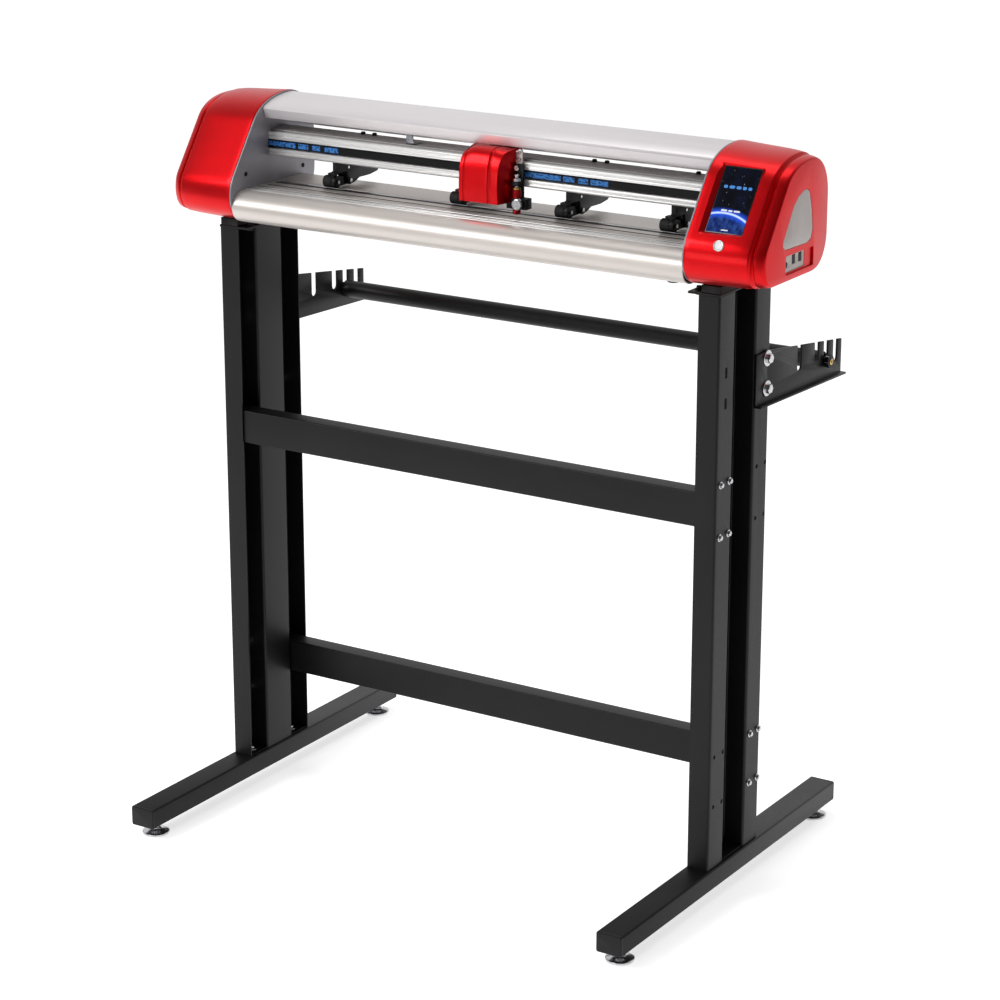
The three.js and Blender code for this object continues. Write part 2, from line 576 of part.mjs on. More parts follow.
function addBody() {
  piece('front_apron', bodyExtrusion(), satinAlu);
  piece('platen', platen(), satinAlu);
  const strip = block([-SPAN_X + 7, SPAN_X - 7], [CUT_Y - 2.6, CUT_Y + 2.6],
    [PLATEN_Z - 0.7, PLATEN_Z - 0.1]);
  piece('cutting_strip', strip, blackPlastic);
  piece('guide_beam', guideBeam(), satinAlu);
  piece('cable_tray', cableTray(), greySheet);
  piece('top_cover', topCover(), whiteAlu);
  piece('drive_belt', driveBelt(), rubber);
  const beltMid = (BELT_Z[0] + BELT_Z[1]) / 2;
  piece('motor_pulley', pulley(2.4 + GAP), satinAlu).position.set(PULLEY_X, PULLEY_Y, beltMid);
  piece('idler_pulley', pulley(2.5 + GAP), satinAlu).position.set(-PULLEY_X, PULLEY_Y, beltMid);
  piece('carriage_motor', carriageMotor(), steel);
  piece('grit_roller', gritRoller(), steel);
  piece('feed_gear', spurGear(GEAR_TEETH, Math.PI / GEAR_TEETH, 5 + GAP), whitePlastic)
    .position.set(389, GRIT_Y, GRIT_Z);
  piece('feed_pinion', spurGear(PINION_TEETH, Math.PI, 2.9 + GAP), brass).position.set(389, PINION_Y, GRIT_Z);
  piece('feed_motor', feedMotor(), steel);
  piece('main_board', mainBoard(), circuitGreen);
  piece('power_supply', block([-462, -402], [-40, 60], [904, 944]), greySheet);
}

// ---- carriage -----------------------------------------------------------------------------
const WHEEL_R = 6;
const WHEELS = [['upper_left_wheel', -2, BEAM_Z[1] + GAP + WHEEL_R], ['upper_right_wheel', 40, BEAM_Z[1] + GAP + WHEEL_R],
  ['lower_wheel', 19, BEAM_Z[0] - GAP - WHEEL_R]];

function carriagePlate() {
  const [y0, y1] = [-11.5, -8.5];
  const sheet = join(block([-14, 68], [y0, y1], [966, 1018]), block([-14, 54], [y0, y1], [1017, 1029.5]),
    block([60.2, 68.2], [y0, y1], [1017, 1029.5]), rodY(4, [y0, y1], [64.2, 1029.5], 16));
  const clamp = block([6, 34], [y1 - 0.5, -4.6], [992.2, 1002.6]);
  const pins = WHEELS.map(([, x, z]) => rodY(2, [y1 - 0.5, -0.6], [x, z], 10));
  return join(sheet, clamp, ...pins);
}

// The carriage cover is a shell that is open at the back. Its right wall leans out towards the back, and
// its top reaches back under the top cover's lip.
function carriageCover() {
  const front = (d) => {
    const p = new THREE.Path();
    p.moveTo(-46 + d, 959);
    p.bezierCurveTo(-48 + d, 975, -48 + d, 985, -47 + d, 996);
    p.bezierCurveTo(-45.5 + d, 1018 - d, -38 + d, 1034.6 - d, -22, 1034.6 - d);
    return p.getPoints(6).map((v) => [v.x, v.y]);
  };
  const outside = (x) => prismZ([[x - 3.2, -60], [90, -60], [90, 2], [x + 13.2, 2]], [940, 1060]);
  const outline = [[-12, 959], ...front(0), [-1, 1034.6], [-1, 1030.5], [-12, 1030.5]];
  const inner = [[-11, 958], [-43.8, 958], ...front(2.2).slice(1), [-14, 1032.4], [-14, 1028], [-11, 1028]];
  const solid = cut(prismX(outline, [COVER_X[0], 62]), outside(COVER_X[1]));
  const hollow = cut(prismX(inner, [COVER_X[0] + 2.2, 62]), outside(COVER_X[1] - 2.4));
  return cut(solid, hollow);
}

function toolLift() {
  const slider = block([59.7, 72], [-15.5, -12], [952, 1013]);
  const clamp = join(block([52, 84], [-27, -12.2], [952, 958.5]), block([60, 84], [-27, -12.2], [958, 967]));
  const upper = block([59.7, 71], [-26, -12.2], [984, 989.5]);
  const holder = rodZ(6.2 + GAP, [TOOL_X, CUT_Y], [948, 970], 20);
  const relief = rodZ(7 + GAP, [TOOL_X, CUT_Y], [964, 983.5], 20);
  const stem = rodZ(4.2 + GAP, [TOOL_X, CUT_Y], [982, 1002], 14);
  const screw = rodY(2.2, [-31, -24], THUMB, 10);
  return cut(join(slider, clamp, upper), holder, relief, stem, screw);
}

function bladeHolder() {
  return turned([[0, 942.6], [0.5, 942.6], [0.8, 943.4], [5, 943.7], [5.6, 944.4], [5.6, 950.6], [6.2, 951.4], [6.2, 966],
    [7, 966.4], [7, 978], [6, 978.3], [6, 981.5], [3, 982], [3, 996], [4.2, 996.4], [4.2, 999], [0, 999]], 20);
}

function addCarriage() {
  piece('carriage_plate', carriagePlate(), satinAlu);
  piece('carriage_cover', carriageCover(), redPaint);
  piece('tool_lift', toolLift(), blackPlastic);
  piece('blade_holder', bladeHolder(), redPaint).position.set(TOOL_X, CUT_Y, 0);
  const knob = join(rodY(8.1, [-36.5, -30], THUMB, 24), rodY(4.5, [-30.5, -27.4], THUMB, 16),
    rodY(1.9, [-28, -24.4], THUMB, 10));
  piece('clamp_knob', knob, steel);
  piece('lift_coil', join(rodZ(9, [30, -26], [975, 1010], 16), block([20, 40], [-34, -13], [970, 976])), steel);
  for (const [name, x, z] of WHEELS) {
    const tyre = cut(rodY(WHEEL_R, [-6.6, -1.4], [0, 0], 20), rodY(2 + GAP, [-8, 0], [0, 0], 10));
    piece(name, tyre, steel).position.set(x, 0, z);
  }
}

// ---- pinch rollers ------------------------------------------------------------------------
// A pinch unit hangs under the beam: a bracket with a tail, a lever on its pin, and the free roller.
function pinchBracket() {
  const z1 = BEAM_Z[0] - GAP;
  const body = prismX([[0.3, z1], [0.3, 967.2], [-5.5, 964], [-5.5, 962.7], [24, 962.7], [43, 957], [58, 948.6],
    [84, 948.2], [104, 950.8], [107.5, 954], [105, 958], [76, 970], [76, z1]], [2, 9]);
  const cheek = prismX([[26, 963], [28, 948], [34, 942.2], [46, 943.8], [60, 949.5], [50, 963]], [5.3, 9]);
  const boss = rodX(6, [5.3, 9], [PIVOT_Y, PIVOT_Z], 20);
  const inner = prismX([[19, z1], [19, 962], [27, 950], [34, 942.5], [46, 944], [60, 949.5], [60, z1]], [-5.6, -2.4]);
  const bridge = block([-5.6, 3], [19, 76], [967, z1]);
  const pin = rodX(2.5, [-3, 10], [PIVOT_Y, PIVOT_Z], 12);
  return join(body, cheek, boss, inner, bridge, pin);
}

function pinchLever() {
  const eye = rodX(8.8, [-2, 5], [GRIT_Y, PINCH_Z], 20);
  const arm = prismX([[8, 942], [34, 942.2], [39, 944.5], [40, 948], [39, 951.5], [34, 954], [8, 957]], [-2, 5]);
  const guard = join(block([-2, 1.2], [3, 13], [955, 962]), block([-9, 1.2], [3, 13], [958.4, 962]));
  const bores = [rodX(3 + GAP, [-3, 6], [GRIT_Y, PINCH_Z], 12), rodX(2.5 + GAP, [-3, 6], [PIVOT_Y, PIVOT_Z], 12)];
  return cut(join(eye, arm, guard), ...bores);
}

function pinchRoller() {
  return join(rodX(PINCH_R, [-17, -2.4], [0, 0], 24), rodX(3, [-3, 6.4], [0, 0], 12));
}

function addPinchUnits() {
  PINCH_X.forEach((x, i) => {
    const unit = new THREE.Group();
    unit.position.x = x;
    root.add(unit);
    piece(`pinch_bracket_${i + 1}`, pinchBracket(), blackPlastic, unit);
    piece(`pinch_lever_${i + 1}`, pinchLever(), blackPlastic, unit);
    piece(`pinch_roller_${i + 1}`, pinchRoller(), rubber, unit).position.set(0, GRIT_Y, PINCH_Z);
  });
}

addStand();
addCovers();
addBody();
addCarriage();
addPinchUnits();

export default root;
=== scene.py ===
"""Looks of a vinyl cutter on its floor stand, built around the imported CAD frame. Metres."""
import json
import math

import bmesh
import bpy
from mathutils import Matrix, Vector


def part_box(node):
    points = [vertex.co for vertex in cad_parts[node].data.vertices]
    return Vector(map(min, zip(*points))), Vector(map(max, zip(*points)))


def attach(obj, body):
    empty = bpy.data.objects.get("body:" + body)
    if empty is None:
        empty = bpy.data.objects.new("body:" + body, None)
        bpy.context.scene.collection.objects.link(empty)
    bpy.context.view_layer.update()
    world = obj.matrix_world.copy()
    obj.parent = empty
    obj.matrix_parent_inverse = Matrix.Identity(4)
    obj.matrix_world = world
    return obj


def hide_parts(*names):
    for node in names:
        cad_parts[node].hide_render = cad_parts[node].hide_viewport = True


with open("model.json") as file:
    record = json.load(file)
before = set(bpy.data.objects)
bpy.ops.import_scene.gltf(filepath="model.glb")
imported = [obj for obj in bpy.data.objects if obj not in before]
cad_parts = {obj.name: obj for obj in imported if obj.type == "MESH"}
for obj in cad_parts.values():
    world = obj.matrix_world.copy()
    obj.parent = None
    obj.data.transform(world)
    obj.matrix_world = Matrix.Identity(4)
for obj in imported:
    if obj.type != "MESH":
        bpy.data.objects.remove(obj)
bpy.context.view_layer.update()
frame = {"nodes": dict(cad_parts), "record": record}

MM = 0.001
NODES = frame["nodes"]


# ---- materials ------------------------------------------------------------------------------
def srgb(code):
    """A linear colour from a hex code."""
    parts = [int(code[i:i + 2], 16) / 255 for i in (0, 2, 4)]
    return [c / 12.92 if c <= 0.04045 else ((c + 0.055) / 1.055) ** 2.4 for c in parts] + [1.0]


class Shader:
    """A Principled material with a small set of node helpers."""

    def __init__(self, name, metallic=0.0, roughness=0.5):
        self.material = bpy.data.materials.new(name)
        self.material.use_nodes = True
        self.tree = self.material.node_tree
        self.bsdf = self.tree.nodes["Principled BSDF"]
        self.bsdf.inputs["Metallic"].default_value = metallic
        self.bsdf.inputs["Roughness"].default_value = roughness
        self.coords = self.node("ShaderNodeTexCoord").outputs["Object"]

    def node(self, kind, **inputs):
        n = self.tree.nodes.new(kind)
        for key, value in inputs.items():
            self.feed(n.inputs[key.replace("_", " ")], value)
        return n

    def feed(self, socket, value):
        if isinstance(value, bpy.types.NodeSocket):
            self.tree.links.new(value, socket)
        else:
            socket.default_value = value

    def mapped(self, scale):
        m = self.node("ShaderNodeMapping", Scale=scale)
        self.feed(m.inputs["Vector"], self.coords)
        return m.outputs["Vector"]

    def noise(self, scale, detail=4.0, vector=None, roughness=0.6):
        n = self.node("ShaderNodeTexNoise", Scale=scale, Detail=detail, Roughness=roughness)
        self.feed(n.inputs["Vector"], vector or self.coords)
        return n.outputs["Fac"]

    def ramp(self, fac, low, high, out_low=0.0, out_high=1.0):
        n = self.node("ShaderNodeMapRange")
        n.clamp = True
        for name, value in (("Value", fac), ("From Min", low), ("From Max", high),
                            ("To Min", out_low), ("To Max", out_high)):
            self.feed(n.inputs[name], value)
        return n.outputs["Result"]

    def math(self, operation, a, b=0.0):
        n = self.node("ShaderNodeMath")
        n.operation = operation
        self.feed(n.inputs[0], a)
        self.feed(n.inputs[1], b)
        return n.outputs["Value"]

    def mix(self, fac, a, b):
        n = self.node("ShaderNodeMix")
        n.data_type = "RGBA"
        self.feed(n.inputs["Factor"], fac)
        self.feed(n.inputs[6], a)
        self.feed(n.inputs[7], b)
        return n.outputs[2]

    def edge_wear(self, low=0.53, high=0.6):
        pointiness = self.node("ShaderNodeNewGeometry").outputs["Pointiness"]
        patchy = self.noise(160.0, 3.0)
        return self.math("MULTIPLY", self.ramp(pointiness, low, high), self.ramp(patchy, 0.45, 0.62))

    def color(self, value):
        self.feed(self.bsdf.inputs["Base Color"], value)

    def roughness(self, value):
        self.feed(self.bsdf.inputs["Roughness"], value)

    def bump(self, height, strength, distance=0.0002):
        b = self.node("ShaderNodeBump", Strength=strength, Distance=distance, Height=height)
        self.feed(self.bsdf.inputs["Normal"], b.outputs["Normal"])


def powder_coat():
    s = Shader("black_powder_coat", metallic=0.0, roughness=0.4)
    s.bsdf.inputs["Specular IOR Level"].default_value = 0.25
    broad = s.noise(9.0, 3.0)
    fine = s.noise(900.0, 2.0)
    base = s.mix(s.ramp(broad, 0.35, 0.65), srgb("0b090a"), srgb("110f10"))
    s.color(s.mix(s.ramp(fine, 0.62, 0.75, 0.0, 0.2), base, srgb("2b2829")))
    s.roughness(s.ramp(fine, 0.3, 0.7, 0.36, 0.5))
    s.bump(s.noise(650.0, 2.0), 0.22, 0.00015)
    return s.material


def red_paint():
    s = Shader("red_metallic_paint", metallic=0.86, roughness=0.34)
    s.bsdf.inputs["Coat Weight"].default_value = 0.12
    s.bsdf.inputs["Coat Roughness"].default_value = 0.12
    flakes = s.node("ShaderNodeTexVoronoi", Scale=2600.0)
    s.feed(flakes.inputs["Vector"], s.coords)
    base = s.mix(s.ramp(s.noise(14.0, 2.0), 0.3, 0.7), srgb("c8000a"), srgb("d4020c"))
    spark = s.ramp(flakes.outputs["Distance"], 0.0, 0.25, 0.3, 0.0)
    s.color(s.mix(spark, base, srgb("f01a26")))
    s.roughness(s.ramp(s.noise(300.0, 2.0), 0.3, 0.7, 0.31, 0.37))
    s.bump(s.noise(420.0, 2.0), 0.04, 0.0001)
    return s.material


def brushed(name, light, dark, roughness, metallic=0.9, along=(6.0, 700.0, 700.0), bump=0.08):
    """Bare metal with a fine grain, drawn out along X unless along says otherwise."""
    s = Shader(name, metallic=metallic, roughness=roughness)
    lines = s.noise(1.0, 5.0, s.mapped(along), 0.7)
    cloudy = s.noise(7.0, 3.0)
    both = s.math("ADD", s.math("MULTIPLY", lines, 0.65), s.math("MULTIPLY", cloudy, 0.35))
    s.color(s.mix(s.ramp(both, 0.38, 0.62), srgb(dark), srgb(light)))
    s.roughness(s.ramp(lines, 0.3, 0.7, roughness - 0.06, roughness + 0.08))
    s.bump(lines, bump, 0.0001)
    return s.material


def painted(name, code, other, roughness, bump=0.12, scale=500.0, metallic=0.0, wear=None):
    s = Shader(name, metallic=metallic, roughness=roughness)
    base = s.mix(s.ramp(s.noise(18.0, 4.0), 0.35, 0.65), srgb(code), srgb(other))
    if wear:
        base = s.mix(s.edge_wear(), base, srgb(wear))
        s.bsdf.inputs["Specular IOR Level"].default_value = 0.2
    s.color(base)
    fine = s.noise(scale, 3.0)
    s.roughness(s.ramp(fine, 0.3, 0.7, roughness - 0.05, roughness + 0.07))
    s.bump(fine, bump, 0.0001)
    return s.material


def circuit_board():
    s = Shader("circuit_board", roughness=0.45)
    traces = s.node("ShaderNodeTexVoronoi", Scale=160.0)
    traces.distance = "MANHATTAN"
    s.feed(traces.inputs["Vector"], s.coords)
    s.color(s.mix(s.ramp(traces.outputs["Distance"], 0.2, 0.35), srgb("3f8a55"), srgb("12482a")))
    s.bump(traces.outputs["Distance"], 0.2, 0.0001)
    return s.material


PRINT_Z = (0.9938, 1.0010)      # lower and upper limit of the belt's printing


def belt_rubber(x_marks):
    """Black belt with printed blue dashes over some stretches."""
    s = Shader("belt_rubber", roughness=0.5)
    s.bsdf.inputs["Specular IOR Level"].default_value = 0.2
    split = s.node("ShaderNodeSeparateXYZ", Vector=s.coords)
    x, z = split.outputs["X"], split.outputs["Z"]
    base = s.mix(s.ramp(s.noise(80.0, 3.0), 0.35, 0.65), srgb("050507"), srgb("0a0a0d"))
    ink = s.ramp(s.noise(1.0, 2.0, s.mapped((230.0, 1.0, 420.0)), 0.5), 0.4, 0.5, 0.15, 1.0)
    zone = None
    for low, high in x_marks:
        inside = s.math("MULTIPLY", s.math("GREATER_THAN", x, low), s.math("LESS_THAN", x, high))
        zone = s.math("MAXIMUM", zone, inside) if zone else inside
    band = s.math("MULTIPLY", s.math("GREATER_THAN", z, PRINT_Z[0]), s.math("LESS_THAN", z, PRINT_Z[1]))
    mark = s.math("MULTIPLY", s.math("MULTIPLY", ink, zone), band)
    s.color(s.mix(mark, base, srgb("3c7fcb")))
    s.bump(s.noise(500.0, 2.0), 0.2, 0.0001)
    return s.material


def display():
    """A dark start screen: a night sky with stars over the lit rim of a planet."""
    s = Shader("display_picture", roughness=0.2)
    s.bsdf.inputs["Specular IOR Level"].default_value = 0.12
    uv = s.node("ShaderNodeUVMap").outputs["UV"]
    split = s.node("ShaderNodeSeparateXYZ", Vector=uv)
    u, v = split.outputs["X"], split.outputs["Y"]
    stars = s.node("ShaderNodeTexVoronoi", Scale=13.0, Vector=uv)
    dot = s.ramp(stars.outputs["Distance"], 0.03, 0.2, 1.0, 0.0)
    bright = s.math("MULTIPLY", dot, s.ramp(s.noise(9.0, 1.0, uv), 0.46, 0.66, 0.0, 0.6))
    sky = s.mix(s.ramp(s.noise(3.0, 4.0, uv), 0.4, 0.7), srgb("020308"), srgb("070c20"))
    du = s.math("SUBTRACT", u, 0.35)
    dv = s.math("ADD", s.math("MULTIPLY", v, 1.76), 0.75)
    far = s.math("SQRT", s.math("ADD", s.math("MULTIPLY", du, du), s.math("MULTIPLY", dv, dv)))
    land = s.mix(s.ramp(s.noise(7.0, 4.0, uv), 0.42, 0.66), srgb("0a1a4e"), srgb("23407e"))
    picture = s.mix(s.math("LESS_THAN", far, 1.28), s.mix(bright, sky, srgb("9aa6bd")), land)
    halo = s.ramp(s.math("ABSOLUTE", s.math("SUBTRACT", far, 1.27)), 0.02, 0.16, 0.85, 0.0)
    core = s.ramp(s.math("ABSOLUTE", s.math("SUBTRACT", far, 1.275)), 0.005, 0.04, 1.0, 0.0)
    final = s.mix(core, s.mix(halo, picture, srgb("1f4fd0")), srgb("b9cdfa"))
    s.color(final)
    s.feed(s.bsdf.inputs["Emission Color"], final)
    s.bsdf.inputs["Emission Strength"].default_value = 0.6
    return s.material


MAT = {
    "coat": powder_coat(),
    "red": red_paint(),
    "alu": brushed("satin_aluminium", "d0c9c4", "cbc4bf", 0.42, 0.6, (1.2, 60.0, 60.0), 0.002),
    "rail": brushed("polished_rail", "f6f5f4", "f2f1f0", 0.24, 0.5, (1.2, 60.0, 60.0), 0.001),
    "pale": brushed("pale_aluminium", "e4dfe1", "e0dbdd", 0.34, 0.45, (1.2, 90.0, 90.0), 0.004),
    "grey": painted("grey_side_paint", "96949a", "8b898f", 0.42, metallic=0.35),
    "tray": brushed("grey_tray", "a9a5a5", "9c9898", 0.45, 0.3, (1.2, 90.0, 90.0), 0.004),
    "steel": brushed("bright_steel", "d8d8da", "b4b4b8", 0.2, 1.0, (300.0, 300.0, 300.0), 0.05),
    "motor": brushed("motor_can", "8f9094", "6d6e72", 0.36, 0.9, (300.0, 300.0, 300.0)),
    "plastic": painted("black_plastic", "0b0b0d", "121215", 0.45, 0.12, 900.0, wear="2e2e32"),
    "rubber": painted("black_rubber", "101011", "19191a", 0.7, 0.25, 1100.0),
    # dark_slot: black used as painted shade in the grit slot and the platen's grooves, and for the port
    # sockets
    "dark": painted("dark_slot", "08080a", "0c0c0e", 0.6),
    "brass": brushed("brass", "d9b871", "b8934c", 0.25, 1.0, (300.0, 300.0, 300.0), 0.05),
    "board": circuit_board(),
    "white": painted("white_plastic", "f2f2f2", "e9e9ea", 0.3, 0.05),
    "panel": painted("light_grey_panel", "b9b2ae", "aca5a1", 0.4, 0.08, metallic=0.3),
    "case": brushed("plain_case", "b5b5b8", "a0a0a4", 0.42, 0.8, (300.0, 300.0, 300.0)),
    "holder": painted("red_anodised", "c80c18", "a30a14", 0.28, 0.05, metallic=0.6),
    "belt": belt_rubber([(-0.374, -0.326), (-0.321, -0.303), (-0.296, -0.282), (-0.274, -0.25), (0.06, 0.126),
                         (0.13, 0.148), (0.154, 0.17), (0.174, 0.202)]),
    "bezel": painted("screen_bezel", "0b0b0d", "111114", 0.2, 0.03),
    "display": display(),
    "ink": painted("pale_icon", "f2f5fd", "e9edf8", 0.4, 0.02),
    "blue": painted("blue_icon", "2f7fe0", "3a95ea", 0.4, 0.02),
}


# ---- mesh helpers ---------------------------------------------------------------------------
def mesh_object(name, build, material, smooth=35.0):
    """A new object whose mesh is what build(bm) makes, in millimetres."""
    bm = bmesh.new()
    build(bm)
    bmesh.ops.remove_doubles(bm, verts=bm.verts, dist=1e-4)
    bmesh.ops.recalc_face_normals(bm, faces=bm.faces)
    bmesh.ops.scale(bm, vec=(MM, MM, MM), verts=bm.verts)
    mesh = bpy.data.meshes.new(name)
    bm.to_mesh(mesh)
    bm.free()
    o = bpy.data.objects.new(name, mesh)
    bpy.context.scene.collection.objects.link(o)
    mesh.materials.append(MAT[material])
    shade(mesh, smooth)
    return o


def shade(mesh, angle):
    for p in mesh.polygons:
        p.use_smooth = True
    mesh.set_sharp_from_angle(angle=math.radians(angle))


def settle(o, smooth=35.0):
    """Applies the object's modifiers, so that its mesh is final."""
    graph = bpy.context.evaluated_depsgraph_get()
    final = bpy.data.meshes.new_from_object(o.evaluated_get(graph))
    o.modifiers.clear()
    old = o.data
    o.data = final
    bpy.data.meshes.remove(old)
    shade(final, smooth)
    return o


def bevel(o, width, segments=2, angle=32.0, smooth=35.0):
    m = o.modifiers.new("bevel", "BEVEL")
    m.width = width * MM
    m.segments = segments
    m.limit_method = "ANGLE"
    m.angle_limit = math.radians(angle)
    m.use_clamp_overlap = True
    m.harden_normals = False
    return settle(o, smooth)


def carve(o, *tools):
    """Cuts the tools out of o, and removes them."""
    for t in tools:
        m = o.modifiers.new("cut", "BOOLEAN")
        m.operation = "DIFFERENCE"
        m.solver = "EXACT"
        m.object = t
    settle(o)
    for t in tools:
        bpy.data.objects.remove(t)
    return o


def place(o, body, slot, *replaced):
    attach(o, body)
    if replaced:
        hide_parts(*replaced)
    return o


def ring_faces(bm, rings):
    """Joins each ring of points to the next one."""
    for a, b in zip(rings, rings[1:]):
        n = len(a)
        for i in range(n):
            j = (i + 1) % n
            bm.faces.new((a[i], a[j], b[j], b[i]))


def closed_rings(bm, rings):
    """Joins the rings up, and closes both ends."""
    ring_faces(bm, rings)
    bm.faces.new(rings[0])
    bm.faces.new(list(reversed(rings[-1])))


def grid_faces(bm, at, steps):
    """A square grid of faces through the points at(i, j)."""
    grid = [[bm.verts.new(at(i, j)) for i in range(steps + 1)] for j in range(steps + 1)]
    for j in range(steps):
        for i in range(steps):
            bm.faces.new((grid[j][i], grid[j][i + 1], grid[j + 1][i + 1], grid[j + 1][i]))


def sweep(bm, outline, x0, x1, axis="X"):
    """Draws a closed outline of two coordinates out along an axis, with both ends closed."""
    def at(p, t):
        return {"X": (t, p[0], p[1]), "Y": (p[0], t, p[1]), "Z": (p[0], p[1], t)}[axis]
    closed_rings(bm, [[bm.verts.new(at(p, t)) for p in outline] for t in (x0, x1)])


def rectangle(a0, a1, b0, b1):
    """The four corners of a rectangle, from its limits in two directions."""
    return [(a0, b0), (a1, b0), (a1, b1), (a0, b1)]


def box(bm, x, y, z):
    sweep(bm, rectangle(*x, *y), *z, "Z")


def turned(bm, profile, centre=(0, 0, 0), axis="Z", sides=64):
    """Turns [radius, height] points about an axis through centre; a point at radius 0 is a pole."""
    c = Vector(centre)
    basis = {"Z": (Vector((1, 0, 0)), Vector((0, 1, 0)), Vector((0, 0, 1))),
             "X": (Vector((0, 1, 0)), Vector((0, 0, 1)), Vector((1, 0, 0))),
             "Y": (Vector((0, 0, 1)), Vector((1, 0, 0)), Vector((0, 1, 0)))}[axis]
    rings = []
    for r, h in profile:
        if r < 1e-6:
            rings.append([bm.verts.new(c + basis[2] * h)])
            continue
        steps = [2 * math.pi * i / sides for i in range(sides)]
        rings.append([bm.verts.new(c + basis[2] * h + basis[0] * (r * math.cos(a)) +
                                   basis[1] * (r * math.sin(a))) for a in steps])
    for a, b in zip(rings, rings[1:]):
        for i in range(sides):
            j = (i + 1) % sides
            corners = [a[i % len(a)], a[j % len(a)], b[j % len(b)], b[i % len(b)]]
            unique = list(dict.fromkeys(corners))
            if len(unique) > 2:
                bm.faces.new(unique)


def bezier(p0, p1, p2, p3, n):
    out = []
    for i in range(n):
        t = i / n
        w = ((1 - t) ** 3, 3 * t * (1 - t) ** 2, 3 * t * t * (1 - t), t ** 3)
        out.append(tuple(sum(k * p[a] for k, p in zip(w, (p0, p1, p2, p3))) for a in (0, 1)))
    return out


def rounded(points, radius, steps=5):
    """Rounds every corner of a closed outline."""
    out = []
    n = len(points)
    for i in range(n):
        p, a, b = (Vector(points[k % n]) for k in (i, i - 1, i + 1))
        r = radius[i] if isinstance(radius, (list, tuple)) else radius
        if r < 1e-6:
            out.append(tuple(p))
            continue
        da, db = (a - p), (b - p)
        half = da.angle(db) / 2
        reach = min(r / max(math.tan(half), 1e-3), da.length * 0.49, db.length * 0.49)
        start, end = p + da.normalized() * reach, p + db.normalized() * reach
        for k in range(steps + 1):
            t = k / steps
            q = start * (1 - t) ** 2 + p * (2 * t * (1 - t)) + end * t * t
            out.append(tuple(q))
    return out


def strip(line, thickness):
    """The closed outline of a sheet of this thickness along an open line."""
    def side(sign):
        out = []
        for i, p in enumerate(line):
            a = Vector(line[max(i - 1, 0)])
            b = Vector(line[min(i + 1, len(line) - 1)])
            d = (b - a).normalized()
            out.append((p[0] - d.y * sign * thickness / 2, p[1] + d.x * sign * thickness / 2))
        return out
    return side(1) + side(-1)[::-1]


BODY_OF = {n: b for b, ns in frame["record"]["behaviour"]["bodies"].items() for n in ns}
SLOT_OF = {s["node"]: s["material_slot"] for s in frame["record"]["subparts"]}


def refine(node, material, width=0.35, angle=32.0):
    """A copy of a CAD node with its flat faces joined up and its edges broken, which stands for it."""
    source = NODES[node].data
    bm = bmesh.new()
    bm.from_mesh(source)
    bmesh.ops.remove_doubles(bm, verts=bm.verts, dist=2e-6)
    bmesh.ops.dissolve_limit(bm, angle_limit=math.radians(1.0), verts=bm.verts, edges=bm.edges)
    bmesh.ops.recalc_face_normals(bm, faces=bm.faces)
    mesh = bpy.data.meshes.new(node + "_look")
    bm.to_mesh(mesh)
    bm.free()
    o = bpy.data.objects.new(node + "_look", mesh)
    bpy.context.scene.collection.objects.link(o)
    mesh.materials.append(MAT[material])
    if width:
        bevel(o, width, angle=angle)
    shade(o.data, 35.0)
    return place(o, BODY_OF[node], SLOT_OF[node], node)


def new_for(node, build, material, smooth=35.0):
    """A new, finer piece that stands for a CAD node."""
    o = mesh_object(node + "_look", build, material, smooth)
    return place(o, BODY_OF[node], SLOT_OF[node], node)


def extra(name, body, slot, material, build, smooth=35.0, edge=0.0):
    o = mesh_object(name, build, material, smooth)
    if edge:
        bevel(o, edge)
    return place(o, body, slot)


SIDES = (("left", -1), ("right", 1))


# ---- stand ----------------------------------------------------------------------------------
def hex_bolt(bm, centre, axis, sign, across=9.5, height=5.0, washer=8.5):
    """A hexagon bolt head on a washer; centre lies on the surface it is screwed to."""
    outward = [(0, 0), (washer, 0), (washer, 1.0), (washer - 0.5, 1.5), (0, 1.5)]
    turned(bm, [(r, h * sign) for r, h in outward], centre, axis, 40)
    r = across / math.sqrt(3)
    head = [(0, 1.5), (r, 1.5), (r, height + 0.6), (r - 0.9, height + 1.5), (0, height + 1.5)]
    turned(bm, [(a, h * sign) for a, h in head], centre, axis, 6)


CROSSBAR_BOLTS = [(a, b) for a in (-12.5, 12.5) for b in (-37.5, 37.5)]


